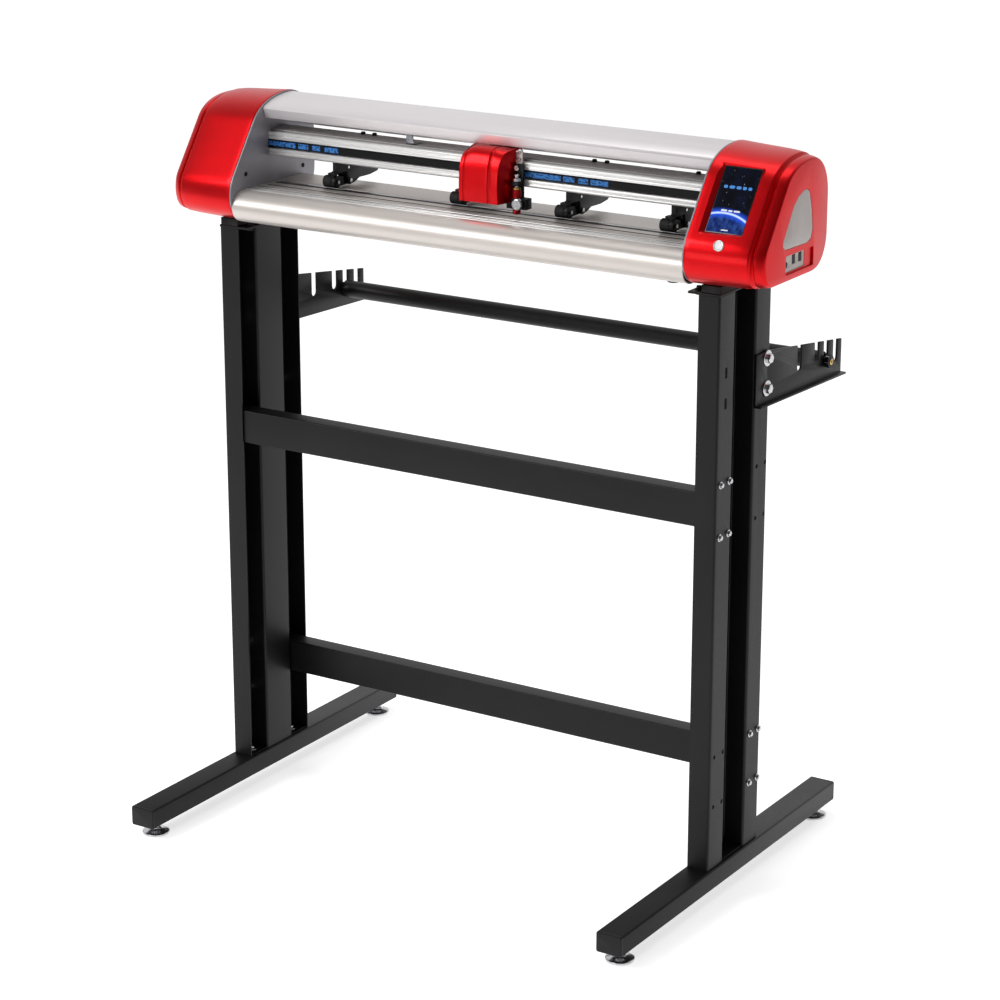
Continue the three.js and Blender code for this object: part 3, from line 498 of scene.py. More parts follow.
def leg_column(name, side):
    fold_y = (-73, -29, 33, 76)
    inner, outer = side * 384.3, side * 415.2
    corners = [(side * 383.5, fold_y[0] + 0.8), (outer, fold_y[0] + 0.8), (outer, fold_y[1]),
               (inner, fold_y[1]), (inner, fold_y[2]), (outer, fold_y[2]),
               (outer, fold_y[3] - 0.8), (side * 383.5, fold_y[3] - 0.8)]
    line = [corners[0]]
    for a, p, b in zip(corners, corners[1:], corners[2:]):
        pa, pp, pb = Vector(a), Vector(p), Vector(b)
        start = pp + (pa - pp).normalized() * 3
        end = pp + (pb - pp).normalized() * 3
        line += [tuple(start * (1 - t) ** 2 + pp * (2 * t * (1 - t)) + end * t * t)
                 for t in (0, 0.17, 0.34, 0.5, 0.66, 0.83, 1)]
    line.append(corners[-1])
    low, high = (v.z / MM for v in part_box(f"{name}_leg_column"))

    o = mesh_object(f"{name}_leg_column_look", lambda bm: sweep(bm, strip(line, 1.6), low, high, "Z"), "coat")
    tools = []

    def hole(build):
        tools.append(mesh_object("tool", build, "dark"))
    x0, x1 = sorted((side * 411, side * 419))
    for spot in [(0, y + a, z + b) for y in (-48, 57) for z in (182, 579) for a, b in CROSSBAR_BOLTS]:
        hole(lambda bm, p=spot: turned(bm, rectangle(0, 3.4, x0, x1), p, "X", 32))
    for z in (729, 772):
        outline = rounded(rectangle(-55, -48, z - 8, z + 8), 3.4, 6)
        hole(lambda bm, s=outline: sweep(bm, s, x0, x1, "X"))
    carve(o, *tools)
    place(o, "machine", "black_powder_coat", f"{name}_leg_column")

    def bolts(bm):
        for y, z in ((-48, 579), (57, 182)):
            for a, b in CROSSBAR_BOLTS:
                hex_bolt(bm, (side * 416, y + a, z + b), "X", side, 7.0, 3.0, 5.4)
    extra(f"{name}_crossbar_bolts", "machine", "bright_steel", "steel", bolts, edge=0.2)

    def foot_bolts(bm):
        for y in (-50, 52):
            hex_bolt(bm, (side * 400, y, 51.2), "Z", 1, 8.0, 4.0, 7.5)
    extra(f"{name}_foot_bolts", "machine", "bright_steel", "steel", foot_bolts, edge=0.2)

    def base(bm):
        box(bm, sorted((side * 384.8, side * 414)), (-71, 74), (49.9, 51.3))
    extra(f"{name}_column_base", "machine", "black_powder_coat", "coat", base, edge=0.4)


def foot_beam(name, side):
    w, l, z0, z1 = 20, 321, 19.5, 49.5
    mid, half = (z0 + z1) / 2, (z1 - z0) / 2
    x = side * 400

    def build(bm):
        outline = rounded(rectangle(-w, w, z0, z1), 3.2, 6)
        ends = [(-l, 1.6), (-l + 0.25, 0.7), (-l + 1.4, 0.0), (l - 1.4, 0.0), (l - 0.25, 0.7), (l, 1.6)]
        rings = []
        for y, d in ends:
            k = (w - d) / w
            rings.append([bm.verts.new((x + a * k, y, mid + (b - mid) * (half - d) / half))
                          for a, b in outline])
        closed_rings(bm, rings)
    new_for(f"{name}_foot_beam", build, "coat", 40)

    def seams(bm):
        for y, sign in ((-l, 1), (l, -1)):
            outline = rounded(rectangle(-w + 0.1, w - 0.1, z0 + 0.1, z1 - 0.1), 3.2, 6)
            pts = [(x + a, b) for a, b in outline]
            grown = [(x + (a - x) * 1.006, mid + (b - mid) * 1.008) for a, b in pts]
            sweep(bm, grown, *sorted((y + sign * 2.6, y + sign * 3.6)), "Y")
    extra(f"{name}_foot_weld_seams", "machine", "black_powder_coat", "coat", seams)


def levelling_foot(node):
    low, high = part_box(node)
    centre = ((low.x + high.x) / 2 / MM, (low.y + high.y) / 2 / MM, 0)
    profile = [(0, 0), (19.2, 0), (20.1, 0.4), (20.5, 1.2), (20.5, 3.2), (20.2, 3.9), (19.4, 4.3),
               (17.5, 4.9), (14.0, 5.6), (11.2, 6.3), (9.2, 7.4), (8.4, 8.5), (7.0, 9.1), (5.0, 9.3),
               (5.0, 11.0)]
    for k in range(11):
        profile += [(4.5, 11.5 + k * 1.25), (5.0, 12.1 + k * 1.25)]
    profile += [(5.0, 37.0), (4.4, 38), (0, 38)]
    new_for(node, lambda bm: turned(bm, profile, centre, "Z", 64), "steel", 30)

    def nut(bm):
        turned(bm, [(5.1, 15.7), (9.0, 15.7), (9.4, 16.2), (9.4, 18.8), (9.0, 19.3), (5.1, 19.3),
                    (5.1, 15.7)], centre, "Z", 6)
    extra(node + "_nut", "machine", "bright_steel", "steel", nut, edge=0.25)


def crossbar(node, y0, fold):
    """A tube whose front face is at y0, with a plate at each end inside the column's fold."""
    low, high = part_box(node)
    mid = (low.z + high.z) / 2 / MM

    def build(bm):
        outline = rounded(rectangle(y0, y0 + 30, mid - 25, mid + 25), 2.6, 5)
        sweep(bm, outline, -411.0, 411.0, "X")
    o = mesh_object(node + "_look", build, "coat")
    place(o, "machine", "black_powder_coat", node)
    for name, side in SIDES:
        def plate(bm):
            outline = rounded(rectangle(fold[0] + 4.4, fold[1] - 3, mid - 49, mid + 49), 3, 4)
            sweep(bm, outline, *sorted((side * 410.6, side * 413.6)), "X")
        p = mesh_object(f"{node}_{name}_plate", plate, "coat")
        bevel(p, 0.4)
        place(p, "machine", "black_powder_coat")


def roll_bracket(name, side):
    refine(f"{name}_roll_bracket", "coat", 0.5, angle=40)

    def bolts(bm):
        for z in (725, 768):
            hex_bolt(bm, (side * 419.4, 62, z), "X", side, 12.5, 5.5, 11.5)
    extra(f"{name}_bracket_bolts", "machine", "bright_steel", "steel", bolts, edge=0.3)


def mirror_turned(bm, profile, centre, sides):
    """The same turned part at the left and right ends."""
    for _, side in SIDES:
        turned(bm, [(r, h * side) for r, h in profile], centre, "X", sides)


def roll_bar():
    half = 428.5
    end = [(1.5, half), (5.3, half), (5.7, half - 0.4), (5.9, half - 1.0), (5.9, 428), (9.2, 427.8),
           (9.3, 427.2), (9.3, 421.2), (9.0, 420.4), (5.9, 420.2), (5.9, 415.2), (12.7, 415.0), (13.3, 414.3)]
    mirrored = [(r, -x) for r, x in reversed(end)]
    profile = [(0, half)] + end[1:] + mirrored[:-1] + [(0, -half)]
    low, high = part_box("media_roll_bar")
    centre = (0, (low.y + high.y) / 2 / MM, (low.z + high.z) / 2 / MM)
    new_for("media_roll_bar", lambda bm: turned(bm, profile, centre, "X", 72), "coat", 30)

    def nuts(bm):
        mirror_turned(bm, [(6.0, 420.6), (9.1, 420.6), (9.5, 421.3), (9.5, 426.6), (9.1, 427.3), (6.0, 427.3),
                           (6.0, 420.6)], centre, 6)
    extra("roll_bar_nuts", "roll_bar", "bright_steel", "steel", nuts, edge=0.3)

    def screw(bm):
        mirror_turned(bm, [(0, 426), (4.6, 426), (4.6, 428.6), (4.0, 429.0), (2.2, 429.0), (2.0, 428.2),
                           (0, 428.2)], centre, 40)
    extra("roll_bar_screws", "roll_bar", "brass", "brass", screw)


def head_mount(name, side):
    refine(f"{name}_head_mount", "coat", 0.5)

    def bolts(bm):
        for y in (-55, 58):
            hex_bolt(bm, (side * 374, y, 883.0), "Z", 1, 7.0, 3.5, 5.6)
            turned(bm, [(0, 879.6), (4.6, 879.6), (4.6, 876.2), (4.1, 875.6), (0, 875.6)],
                   (side * 374, y, 0), "Z", 6)
    extra(f"{name}_head_mount_bolts", "machine", "black_plastic", "plastic", bolts, edge=0.2)


def stand():
    for name, side in SIDES:
        leg_column(name, side)
        foot_beam(name, side)
        roll_bracket(name, side)
        head_mount(name, side)
        for place_name in ("front", "rear"):
            levelling_foot(f"{place_name}_{name}_levelling_foot")
    crossbar("upper_crossbar", -70, (-73, -29))
    crossbar("lower_crossbar", 36.5, (33, 76))
    roll_bar()


# ---- end covers -----------------------------------------------------------------------------
BOTTOM = 893.8
INNER_X, END_X = 374.7, 487.5


def head_profile():
    """The outline of the end covers seen from the side, as (y, z) points."""
    n = 22      # points on each large curve
    pts = [(50, BOTTOM)] + [(50 - 110 * i / 6, BOTTOM) for i in range(1, 6)]
    pts += bezier((-60, BOTTOM), (-88, BOTTOM), (-103, 912), (-102.5, 933), n)
    pts += bezier((-102.5, 933), (-102.2, 945), (-99.5, 953.5), (-94, 961.6), n // 2)
    pts += [(-94 + 53 * i / 14, 961.6 + 74.2 * i / 14) for i in range(14)]
    pts += bezier((-41, 1035.8), (-27, 1055), (0, 1068.6), (44, 1068.6), n)
    pts += bezier((44, 1068.6), (80, 1068.6), (107, 1042), (107.5, 1000), n)
    pts += [(107.5, 1000 - 50 * i / 5) for i in range(5)]
    pts += bezier((107.5, 950), (107.5, 920), (88, BOTTOM), (50, BOTTOM), n)
    return pts


def inset(points, d):
    """Moves each point of a clockwise outline inwards by d."""
    out = []
    n = len(points)
    for i, p in enumerate(points):
        a, b = Vector(points[i - 1]), Vector(points[(i + 1) % n])
        v = Vector(p)
        along = ((v - a).normalized() + (b - v).normalized()).normalized()
        out.append((p[0] + along.y * d, p[1] - along.x * d))
    return out


def cover_section(x, top, front, wall=0.0):
    """The profile at x, set in by top and front millimetres, less at the back and below."""
    base = head_profile()
    out = []
    for p, q in zip(base, inset(base, 1)):
        ny, nz = q[0] - p[0], q[1] - p[1]
        dy = wall + (front if ny > 0 else 0.7 * front)
        dz = wall + (top if nz < 0 else 0.38 * front)
        out.append((x, p[0] + ny * dy, p[1] + nz * dz))
    return out


TAPER = [(375.9, 0, 0), (400, 1.6, 1), (420, 2.8, 2), (440, 3.9, 3.4), (455, 5.1, 4.8), (463, 6.2, 5.8),
         (467.2, 6.9, 6.5)]
ROUND_END = [(467.9, 7.3, 7.0), (468.5, 8.3, 8.1), (469.1, 9.8, 9.7), (469.8, 11.4, 11.4),
             (470.6, 12.6, 12.7), (471.5, 13.1, 13.3), (472.5, 12.8, 13.2), (473.4, 11.8, 12.4),
             (474.2, 10.8, 11.6), (475.0, 10.2, 11.2), (476.2, 10.1, 11.4), (478, 10.35, 12.1),
             (480.5, 10.8, 13.2), (483, 11.5, 14.5), (485, 12.1, 16.0), (486.5, 12.9, 17.6),
             (487.2, 13.7, 18.9), (END_X, 14.8, 20.4)]


def cover_stations():
    """Distance from the machine's middle, top inset, front inset: lip, taper, groove, round end."""
    rows = [(INNER_X, 1.2, 1.2), (INNER_X + 0.25, 0.55, 0.55), (INNER_X + 0.7, 0.1, 0.1)]
    for i, (p1, p2) in enumerate(zip(TAPER, TAPER[1:])):
        p0, p3 = TAPER[max(i - 1, 0)], TAPER[min(i + 2, len(TAPER) - 1)]
        for k in range(4):
            t = k / 4
            row = [p1[0] + (p2[0] - p1[0]) * t]
            for c in (1, 2):
                m1 = (p2[c] - p0[c]) / (p2[0] - p0[0]) * (p2[0] - p1[0])
                m2 = (p3[c] - p1[c]) / (p3[0] - p1[0]) * (p2[0] - p1[0])
                row.append((2 * t ** 3 - 3 * t * t + 1) * p1[c] + (t ** 3 - 2 * t * t + t) * m1 +
                           (3 * t * t - 2 * t ** 3) * p2[c] + (t ** 3 - t * t) * m2)
            rows.append(tuple(row))
    return rows + [TAPER[-1]] + ROUND_END


def slanted(o, place_at, lean):
    """Puts what is drawn in its own plane onto the front, at place_at, leaning back by lean."""
    up = Vector((0, math.sin(lean), math.cos(lean)))
    out = Vector((0, -math.cos(lean), math.sin(lean)))
    m = Matrix((Vector((1, 0, 0)), up, out)).transposed().to_4x4()
    m.translation = Vector(place_at) * MM
    o.data.transform(m)
    return o


SCREEN, SLANT = (422.9, -56.4, 1010.3), math.atan(0.714)
SCREEN_HALF = (28, 48.5)
BUTTON, BUTTON_LEAN = (423.5, -95.6, 955.5), 0.45
INSERT = [(21, 1016), (30, 1017), (39, 1012), (47.5, 986), (51, 958), (47, 947), (35, 942.5),
          (-28, 944), (-36, 950), (-34, 957), (-6, 1000), (8, 1011)]


def end_cover(name, side):
    def build(bm):
        outer = [cover_section(side * x, top, front) for x, top, front in cover_stations()]
        inner = [cover_section(side * x, top, front, 2.6) for x, top, front in (
            (END_X - 5, 12.4, 15.2), (476, 12.6, 13), (469, 12.6, 12.8), (465, 9, 8.6), (440, 3.9, 3.4),
            (400, 1.6, 1), (INNER_X, 0, 0))]
        rings = [[bm.verts.new(p) for p in ring] for ring in outer]
        ring_faces(bm, rings)
        bm.faces.new(rings[-1])
        back = [[bm.verts.new(p) for p in ring] for ring in inner]
        ring_faces(bm, back)
        bm.faces.new(back[0])
        ring_faces(bm, [rings[0], back[-1]])
    o = mesh_object(f"{name}_end_cover_look", build, "red", 30)

    def nose_pocket(bm):
        turned(bm, rectangle(0, 8.5, 890, 899.5), (side * 462, -72, 0), "Z", 48)
    tools = [mesh_object("tool", nose_pocket, "dark")]
    if side > 0:
        w, h = SCREEN_HALF

        def recess(bm):
            low = rounded(rectangle(-w - 0.6, w + 0.6, -h - 0.6, h + 0.6), 2, 4)
            high = rounded(rectangle(-w - 8, w + 8, -h - 8, h + 8), 5, 4)
            closed_rings(bm, [[bm.verts.new((a, b, z)) for a, b in pts] for pts, z in ((low, -3), (high, 3))])

        def window(bm):
            sweep(bm, rounded(rectangle(-w - 0.3, w + 0.3, -h - 0.3, h + 0.3), 1.5, 4), -29, 1, "Z")

        def button_hole(bm):
            turned(bm, [(0, -15), (7.6, -15), (7.6, -0.9), (9.0, 0.6), (9.0, 10), (0, 10)])

        def pocket(bm):
            sweep(bm, rounded(INSERT, 4, 5), END_X - 1.2, END_X + 2, "X")

        def ports(bm):
            sweep(bm, rounded(rectangle(-26, 33, 911.5, 935), 2.5, 4), END_X - 12, END_X + 2, "X")

        def port_recess(bm):
            sweep(bm, rounded(rectangle(-26, 55, 909, 935), 3, 5), END_X - 2.6, END_X + 2, "X")
        tools += [slanted(mesh_object("tool", recess, "red"), SCREEN, SLANT),
                  slanted(mesh_object("tool", window, "red"), SCREEN, SLANT),
                  slanted(mesh_object("tool", button_hole, "red"), BUTTON, BUTTON_LEAN),
                  mesh_object("tool", pocket, "red"), mesh_object("tool", port_recess, "red")]
        carve(o, mesh_object("tool", ports, "red"))
    carve(o, *tools)
    shade(o.data, 28)
    place(o, "machine", "red_paint", f"{name}_end_cover")


def control_panel():
    def glass(bm):
        sweep(bm, rounded(rectangle(-27.9, 27.9, -48.4, 48.4), 1.0, 4), -8.1, -3.3, "Z")
    g = slanted(mesh_object("screen_body_look", glass, "bezel"), SCREEN, SLANT)
    bevel(g, 0.3)
    place(g, "machine", "display_glass", "touch_screen")

    u_half, v_half = 26.8, 47.2     # of the lit picture

    def picture(bm):
        steps = 8
        grid_faces(bm, lambda i, j: (-u_half + 2 * u_half * i / steps, -v_half + 2 * v_half * j / steps,
                                     -3.22), steps)
    p = mesh_object("screen_picture", picture, "display")
    uv = p.data.uv_layers.new(name="screen")
    for loop in p.data.loops:
        c = p.data.vertices[loop.vertex_index].co / MM
        uv.data[loop.index].uv = ((c.x + u_half) / (2 * u_half), (c.y + v_half) / (2 * v_half))
    m = p.modifiers.new("thick", "SOLIDIFY")
    m.thickness = 0.15 * MM
    m.offset = 1
    settle(p)
    slanted(p, SCREEN, SLANT)
    place(p, "machine", "display_glass")

    def row(bars):
        def build(bm):
            for a, b, y, h in bars:
                sweep(bm, rounded(rectangle(a, b, y - h, y + h), h * 0.9, 4), -3.12, -3.0, "Z")
        return build
    blue = [(-21, -15, 18.6, 2.2), (-12.5, -4.5, 18.6, 2.2), (-2, 5, 18.6, 2.2), (7.5, 13, 18.6, 2.2),
            (15.5, 21, 18.6, 2.2)]
    pale = [(-14, -5, -15.5, 1.3), (-3.2, 3, -15.5, 1.3), (4.8, 14, -15.5, 1.3), (-5, 5, -43.5, 0.9)]
    for name, bars, ink in (("screen_mark", blue, "blue"), ("screen_bars", pale, "ink")):
        slanted(extra(name, "machine", "display_glass", ink, row(bars)), SCREEN, SLANT)

    def surround(bm):
        w, h = SCREEN_HALF
        inner = [(-w - 0.35, -h - 0.35, -3.35), (w + 0.35, -h - 0.35, -3.35), (w + 0.35, h + 0.35, -3.35),
                 (-w - 0.35, h + 0.35, -3.35)]
        outer = [(-w - 3.5, -h - 2.5, -0.9), (w + 1.5, -h - 1.5, -2.6), (w + 1.5, h + 1.5, -2.6),
                 (-w - 3.5, h + 3.5, -0.9)]
        rings = [[bm.verts.new(p) for p in ring] for ring in (
            inner, outer, [(a, b, -6.5) for a, b, _ in outer], [(a, b, -7) for a, b, _ in inner])]
        ring_faces(bm, rings + [rings[0]])
    slanted(extra("screen_surround", "machine", "red_paint", "red", surround, 20), SCREEN, SLANT)

    def cap(bm):
        turned(bm, [(0, -9), (7.1, -9), (7.3, -8.8), (7.3, 0.6), (7.0, 1.2), (6.3, 1.5), (4.8, 1.3),
                    (0, 1.1)])
    c = slanted(mesh_object("power_button_look", cap, "white", 40), BUTTON, BUTTON_LEAN)
    place(c, "button", "white_plastic", "power_button")

    def ring(bm):
        turned(bm, [(5.4, 1.35), (6.1, 1.5), (6.2, 1.58), (5.4, 1.5), (5.3, 1.42), (5.4, 1.35)])
    r = slanted(mesh_object("power_button_ring", ring, "steel"), BUTTON, BUTTON_LEAN)
    place(r, "button", "bright_steel")

    def plate(bm):
        sweep(bm, inset(rounded(INSERT, 4, 5), 0.35), END_X - 0.9, END_X - 0.15, "X")
    i = mesh_object("side_panel_insert_look", plate, "panel")
    bevel(i, 0.35, 3)
    place(i, "machine", "light_grey_plastic", "side_panel_insert")
    refine("port_panel", "panel", 0.3)

    # black boxes behind the port holes: partly the sockets' own black plastic, partly painted shade inside
    # the holes
    def sockets(bm):
        for y in (2.25, 21):
            box(bm, (480.4, 484.2), (y - 4.6, y + 4.9), (920.2, 932.8))
        turned(bm, rectangle(0, 4.3, 480.4, 484.2), (0, -19.3, 922), "X", 40)
    extra("port_sockets", "machine", "light_grey_plastic", "dark", sockets, edge=0.2)


def side_plate(name, side):
    """The flat plate inside each cover, with its windows; the left one carries the idler's shelf and pin."""
    def sheet(bm):
        sweep(bm, inset(head_profile(), 0.6), *sorted((side * 372.5, side * 374.4)), "X")
    x0, x1 = sorted((side * 370, side * 377))

    def window(bm):
        sweep(bm, rounded(rectangle(-7.5, 17.5, 988.5, 1006.5), 2, 4), x0, x1, "X")

    def journal(bm):
        turned(bm, rectangle(0, 5.3, x0, x1), (0, 8, 930.45), "X", 40)
    o = mesh_object(f"{name}_side_plate_look", sheet, "grey")
    carve(o, mesh_object("tool", window, "grey"), mesh_object("tool", journal, "grey"))
    place(o, "machine", "grey_sheet", f"{name}_side_plate")
    if side < 0:
        def shelf(bm):
            box(bm, (-411, -374.3), (-4, 14), (984.6, 987.4))
            pin = [(0, 987.3), (2.5, 987.3), (2.5, 1006.6), (2.2, 1007), (0, 1007)]
            turned(bm, pin, (-400, 5, 0), "Z", 32)
        extra("idler_shelf", "machine", "grey_sheet", "grey", shelf, edge=0.3)

    def screws(bm):
        head = [(0, 372.7), (3.4, 372.7), (3.4, 371.9), (2.6, 371.2), (1.2, 371.2), (1.1, 371.9), (0, 371.9)]
        for y, z in ((-64, 961), (77, 951)):
            turned(bm, [(r, h * side) for r, h in head], (0, y, z), "X", 32)
    extra(f"{name}_plate_screws", "machine", "black_plastic", "plastic", screws)


def covers():
    for name, side in SIDES:
        end_cover(name, side)
        side_plate(name, side)
    control_panel()


# ---- head body ------------------------------------------------------------------------------
SPAN = 372.2


def body_extrusion():
    nose = [(-72.5 + 26 * math.cos(a), 916.4 + 22 * math.sin(a))
            for a in (math.pi / 2 + math.pi * i / 40 for i in range(41))]
    line = [(-35, 938.35), (-45, 938.35), (-58, 938.4)] + nose
    line += [(-60, 894.4), (20, 894.6), (76, 894.6), (76, 936.9)]

    def build(bm):
        sweep(bm, strip(line, 1.6), -SPAN, SPAN, "X")
    new_for("front_apron", build, "alu", 40)

    def ribs(bm):
        z = 939.1
        for y, w, h in ((-40.5, 1.1, 0.5), (-50.5, 1.4, 0.55), (-56.5, 1.0, 0.5), (-63.0, 1.6, 0.6),
                        (-67.0, 0.8, 0.4)):
            sweep(bm, [(y - w, z - 0.2), (y - w * 0.6, z + h), (y + w * 0.6, z + h), (y + w, z - 0.2)],
                  -SPAN + 0.2, SPAN - 0.2, "X")
    extra("platen_front_ribs", "machine", "satin_aluminium", "rail", ribs, edge=0.12)

    # painted shade: thin black strips laid on the platen front stand for the shade in its grooves
    def groove_shade_strips(bm):
        for y, w in ((-37.3, 0.7), (-46.3, 0.55), (-60.0, 0.6), (-53.6, 0.4)):
            box(bm, (-SPAN + 0.2, SPAN - 0.2), (y - w, y + w), (938.9, 939.28))
    extra("platen_front_grooves", "machine", "satin_aluminium", "dark", groove_shade_strips)

    def nubs(bm):
        for x, y, r, h in ((-103, -66, 3.2, 2.6), (132, -62, 3.2, 2.6)):
            turned(bm, [(0, 893.8), (r, 893.8), (r, 893.8 - h + 0.6), (r - 0.6, 893.8 - h), (0, 893.8 - h)],
                   (x, y, 0), "Z", 6)
        turned(bm, [(0, 893.8), (9, 893.8), (9, 889.6), (8, 888.8), (0, 888.8)], (337, -58, 0), "Z", 40)
    extra("underside_screws", "machine", "black_plastic", "plastic", nubs)


def platen():
    refine("platen", "alu", 0.25, angle=50)
    refine("cutting_strip", "plastic", 0.15)

    # painted shade: a black strip fills the grit roller's slot and stands for the shade down in it
    def slot_shade_band(bm):
        box(bm, (-SPAN + 7, SPAN - 7), (-3.2, 3.3), (937.4, 939.5))
    extra("grit_slot_shade_strip", "machine", "black_plastic", "dark", slot_shade_band)


def beam():
    refine("guide_beam", "rail", 0.3, angle=20)

    def screws(bm):
        head = [(0, 1017.7), (3.6, 1017.7), (3.6, 1020.0), (2.8, 1021.2), (1.2, 1021.2), (1.0, 1020.2),
                (0, 1020.2)]
        for x in (-234, -214, 156, 176, 320):
            turned(bm, head, (x, 37, 0), "Z", 32)
    extra("tray_screws", "machine", "black_plastic", "plastic", screws)
    refine("cable_tray", "tray", 0.3)

    def strap(bm):
        line = [(0.6, 1057.2), (1.0, 1035), (2.4, 1021.5), (4.0, 1019.2), (7, 1018.5), (24, 1018.5)]
        widths = [4.2] * 2 + [7] * 4
        outline = list(zip(widths + widths[::-1], strip(line, 0.9)))
        closed_rings(bm, [[bm.verts.new((-129 + sign * w, y, z)) for w, (y, z) in outline]
                          for sign in (-1, 1)])
    extra("tray_strap", "machine", "grey_sheet", "motor", strap, edge=0.2)


def top_cover():
    roof = bezier((-18.6, 1051.4), (-2, 1061), (20, 1065.4), (44, 1065.4), 22)
    back = bezier((44, 1065.4), (78, 1065.4), (103, 1041), (104, 1008), 22) + [(104, 1008)]
    line = [(-12.5, 1036.5), (-14.5, 1041.4), (-16.6, 1046.5), (-18.2, 1050.3)] + roof[1:] + back

    def build(bm):
        sweep(bm, strip(line, 1.8), -SPAN, SPAN, "X")
    o = new_for("top_cover", build, "pale", 32)
    bevel(o, 0.35, 2, 60, 32)


def belt_and_drive():
    refine("drive_belt", "belt", 0.0)
    for n, m in (("motor_pulley", "alu"), ("idler_pulley", "alu"), ("carriage_motor", "motor"),
                 ("feed_gear", "white"), ("feed_pinion", "brass"), ("feed_motor", "motor"),
                 ("main_board", "board"), ("power_supply", "case")):
        refine(n, m, 0.3)
    low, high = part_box("grit_roller")
    centre = (0, (low.y + high.y) / 2 / MM, (low.z + high.z) / 2 / MM)
    profile = [(0, -379), (4.6, -379), (5, -378.6), (5, -364), (8.6, -364), (9, -363.6)]
    for x in (-265, -44, 130, 297):
        a, b = x - 34, x + 18
        profile += [(9, a - 0.6), (8.7, a), (8.7, b), (9, b + 0.6)]
    profile += [(9, 363.6), (8.6, 364), (5, 364), (5, 395.6), (4.6, 396), (0, 396)]
    new_for("grit_roller", lambda bm: turned(bm, profile, centre, "X", 64), "steel", 30)


# ---- carriage -------------------------------------------------------------------------------
def carriage():
    x0, x1 = -14, 49    # left and right faces, at the front
    roof = 1034.6

    def front(d):
        """The curved front, inset by d, from above the lower edge to the roof."""
        n = 14
        return (bezier((-46 + d, 959), (-48 + d, 975), (-48 + d, 985), (-47 + d, 996), n)[1:] +
                bezier((-47 + d, 996), (-45.5 + d, 1018 - d), (-38 + d, roof - d), (-22, roof - d), n) +
                [(-22, roof - d)])

    def fall(x):
        """How far the roof drops towards either end."""
        left = 6.0 * max(0.0, 1 - (x - x0) / 20) ** 2
        return left + 3.0 * min(1.0, max(0.0, (x - x1 + 16) / 16)) ** 2

    def lowered(y, z, drop):
        share = 1 if y < -20 else 0.4 if y < -13 else 0
        return z - drop * max(0.0, min(1.0, (z - 1000) / 34)) * share

    # distance from the left or right face, and inset: a thin groove at the left, a wider one at the right
    left_part = [(0, 0.0), (1.5, 0.0), (3, 0.0), (4.5, 0.0), (5.8, 0.0), (6.2, 0.7), (6.8, 1.0), (7.4, 0.7),
                 (7.8, 0.0), (11, 0), (15, 0), (20, 0), (28, 0)]
    right_part = [(-20, 0), (-17.0, 0.0), (-16.3, 1.1), (-15.2, 1.6), (-14.2, 1.3), (-13.6, 0.2),
                  (-12.4, -0.25), (-9, -0.25), (-4, 0), (13, 0)]

    def build(bm):
        rings = []
        for x, d in [(x0 + k, d) for k, d in left_part] + [(x1 + k, d) for k, d in right_part]:
            ring = [(-12, 959), (-46 + d, 959)] + front(d)
            ring += [(-14, roof - d), (-1, roof), (-1, 1030.5), (-12, 1030.5)]
            rings.append([bm.verts.new((x, y, lowered(y, z, fall(x)))) for y, z in ring])
        closed_rings(bm, rings)
    o = mesh_object("carriage_cover_look", build, "red", 30)

    def outside(x):
        """Everything to the right of a face that starts near x and runs outwards to the rear."""
        def wedge(bm):
            sweep(bm, [(x - 3.2, -60), (90, -60), (90, 2), (x + 13.2, 2)], 940, 1060, "Z")
        return mesh_object("tool", wedge, "red")
    carve(o, outside(x1))
    bevel(o, 1.8, 4, 40, 30)

    def hollow(bm):
        pts = [(-11, 958), (-43.4, 958)] + front(2.6) + [(-14, 1032.0), (-14, 1028), (-11, 1028)]
        sweep(bm, pts, x0 + 2.4, 61, "X")
    inner = carve(mesh_object("hollow", hollow, "red"), outside(x1 - 2.6))
    carve(o, inner)
    shade(o.data, 30)
    place(o, "carriage", "red_paint", "carriage_cover")

    refine("carriage_plate", "alu", 0.4)
    refine("tool_lift", "plastic", 0.5)
    refine("lift_coil", "motor", 0.3)
    wheel = [(2.3, -6.6), (5.4, -6.6), (6, -6.1), (6, -1.9), (5.4, -1.4), (2.3, -1.4), (2.3, -6.6)]
    for n in ("upper_left_wheel", "upper_right_wheel", "lower_wheel"):
        low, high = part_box(n)
        c = ((low.x + high.x) / 2 / MM, 0, (low.z + high.z) / 2 / MM)
        new_for(n, lambda bm, c=c: turned(bm, wheel, c, "Y", 48), "steel", 30)

    # painted shade: a black bar standing for the shadowed gap between the carriage cover's roof and the top
    # cover's lip
    def bar(bm):
        outline = rounded(rectangle(13, 103, 1034.9, 1036.4), 0.6, 4)
        sweep(bm, outline, -9, -3, "Y")
    extra("lip_gap_shade_bar", "machine", "black_plastic", "plastic", bar, edge=0.3)

    def plate_screws(bm):
        head = [(0, -11.4), (2.6, -11.4), (2.6, -12.8), (2.0, -13.4), (1.1, -13.4), (1.0, -12.6), (0, -12.6)]
        for z in (1029, 1019):
            turned(bm, head, (64.2, 0, z), "Y", 32)
    extra("carriage_plate_screws", "carriage", "bright_steel", "steel", plate_screws)


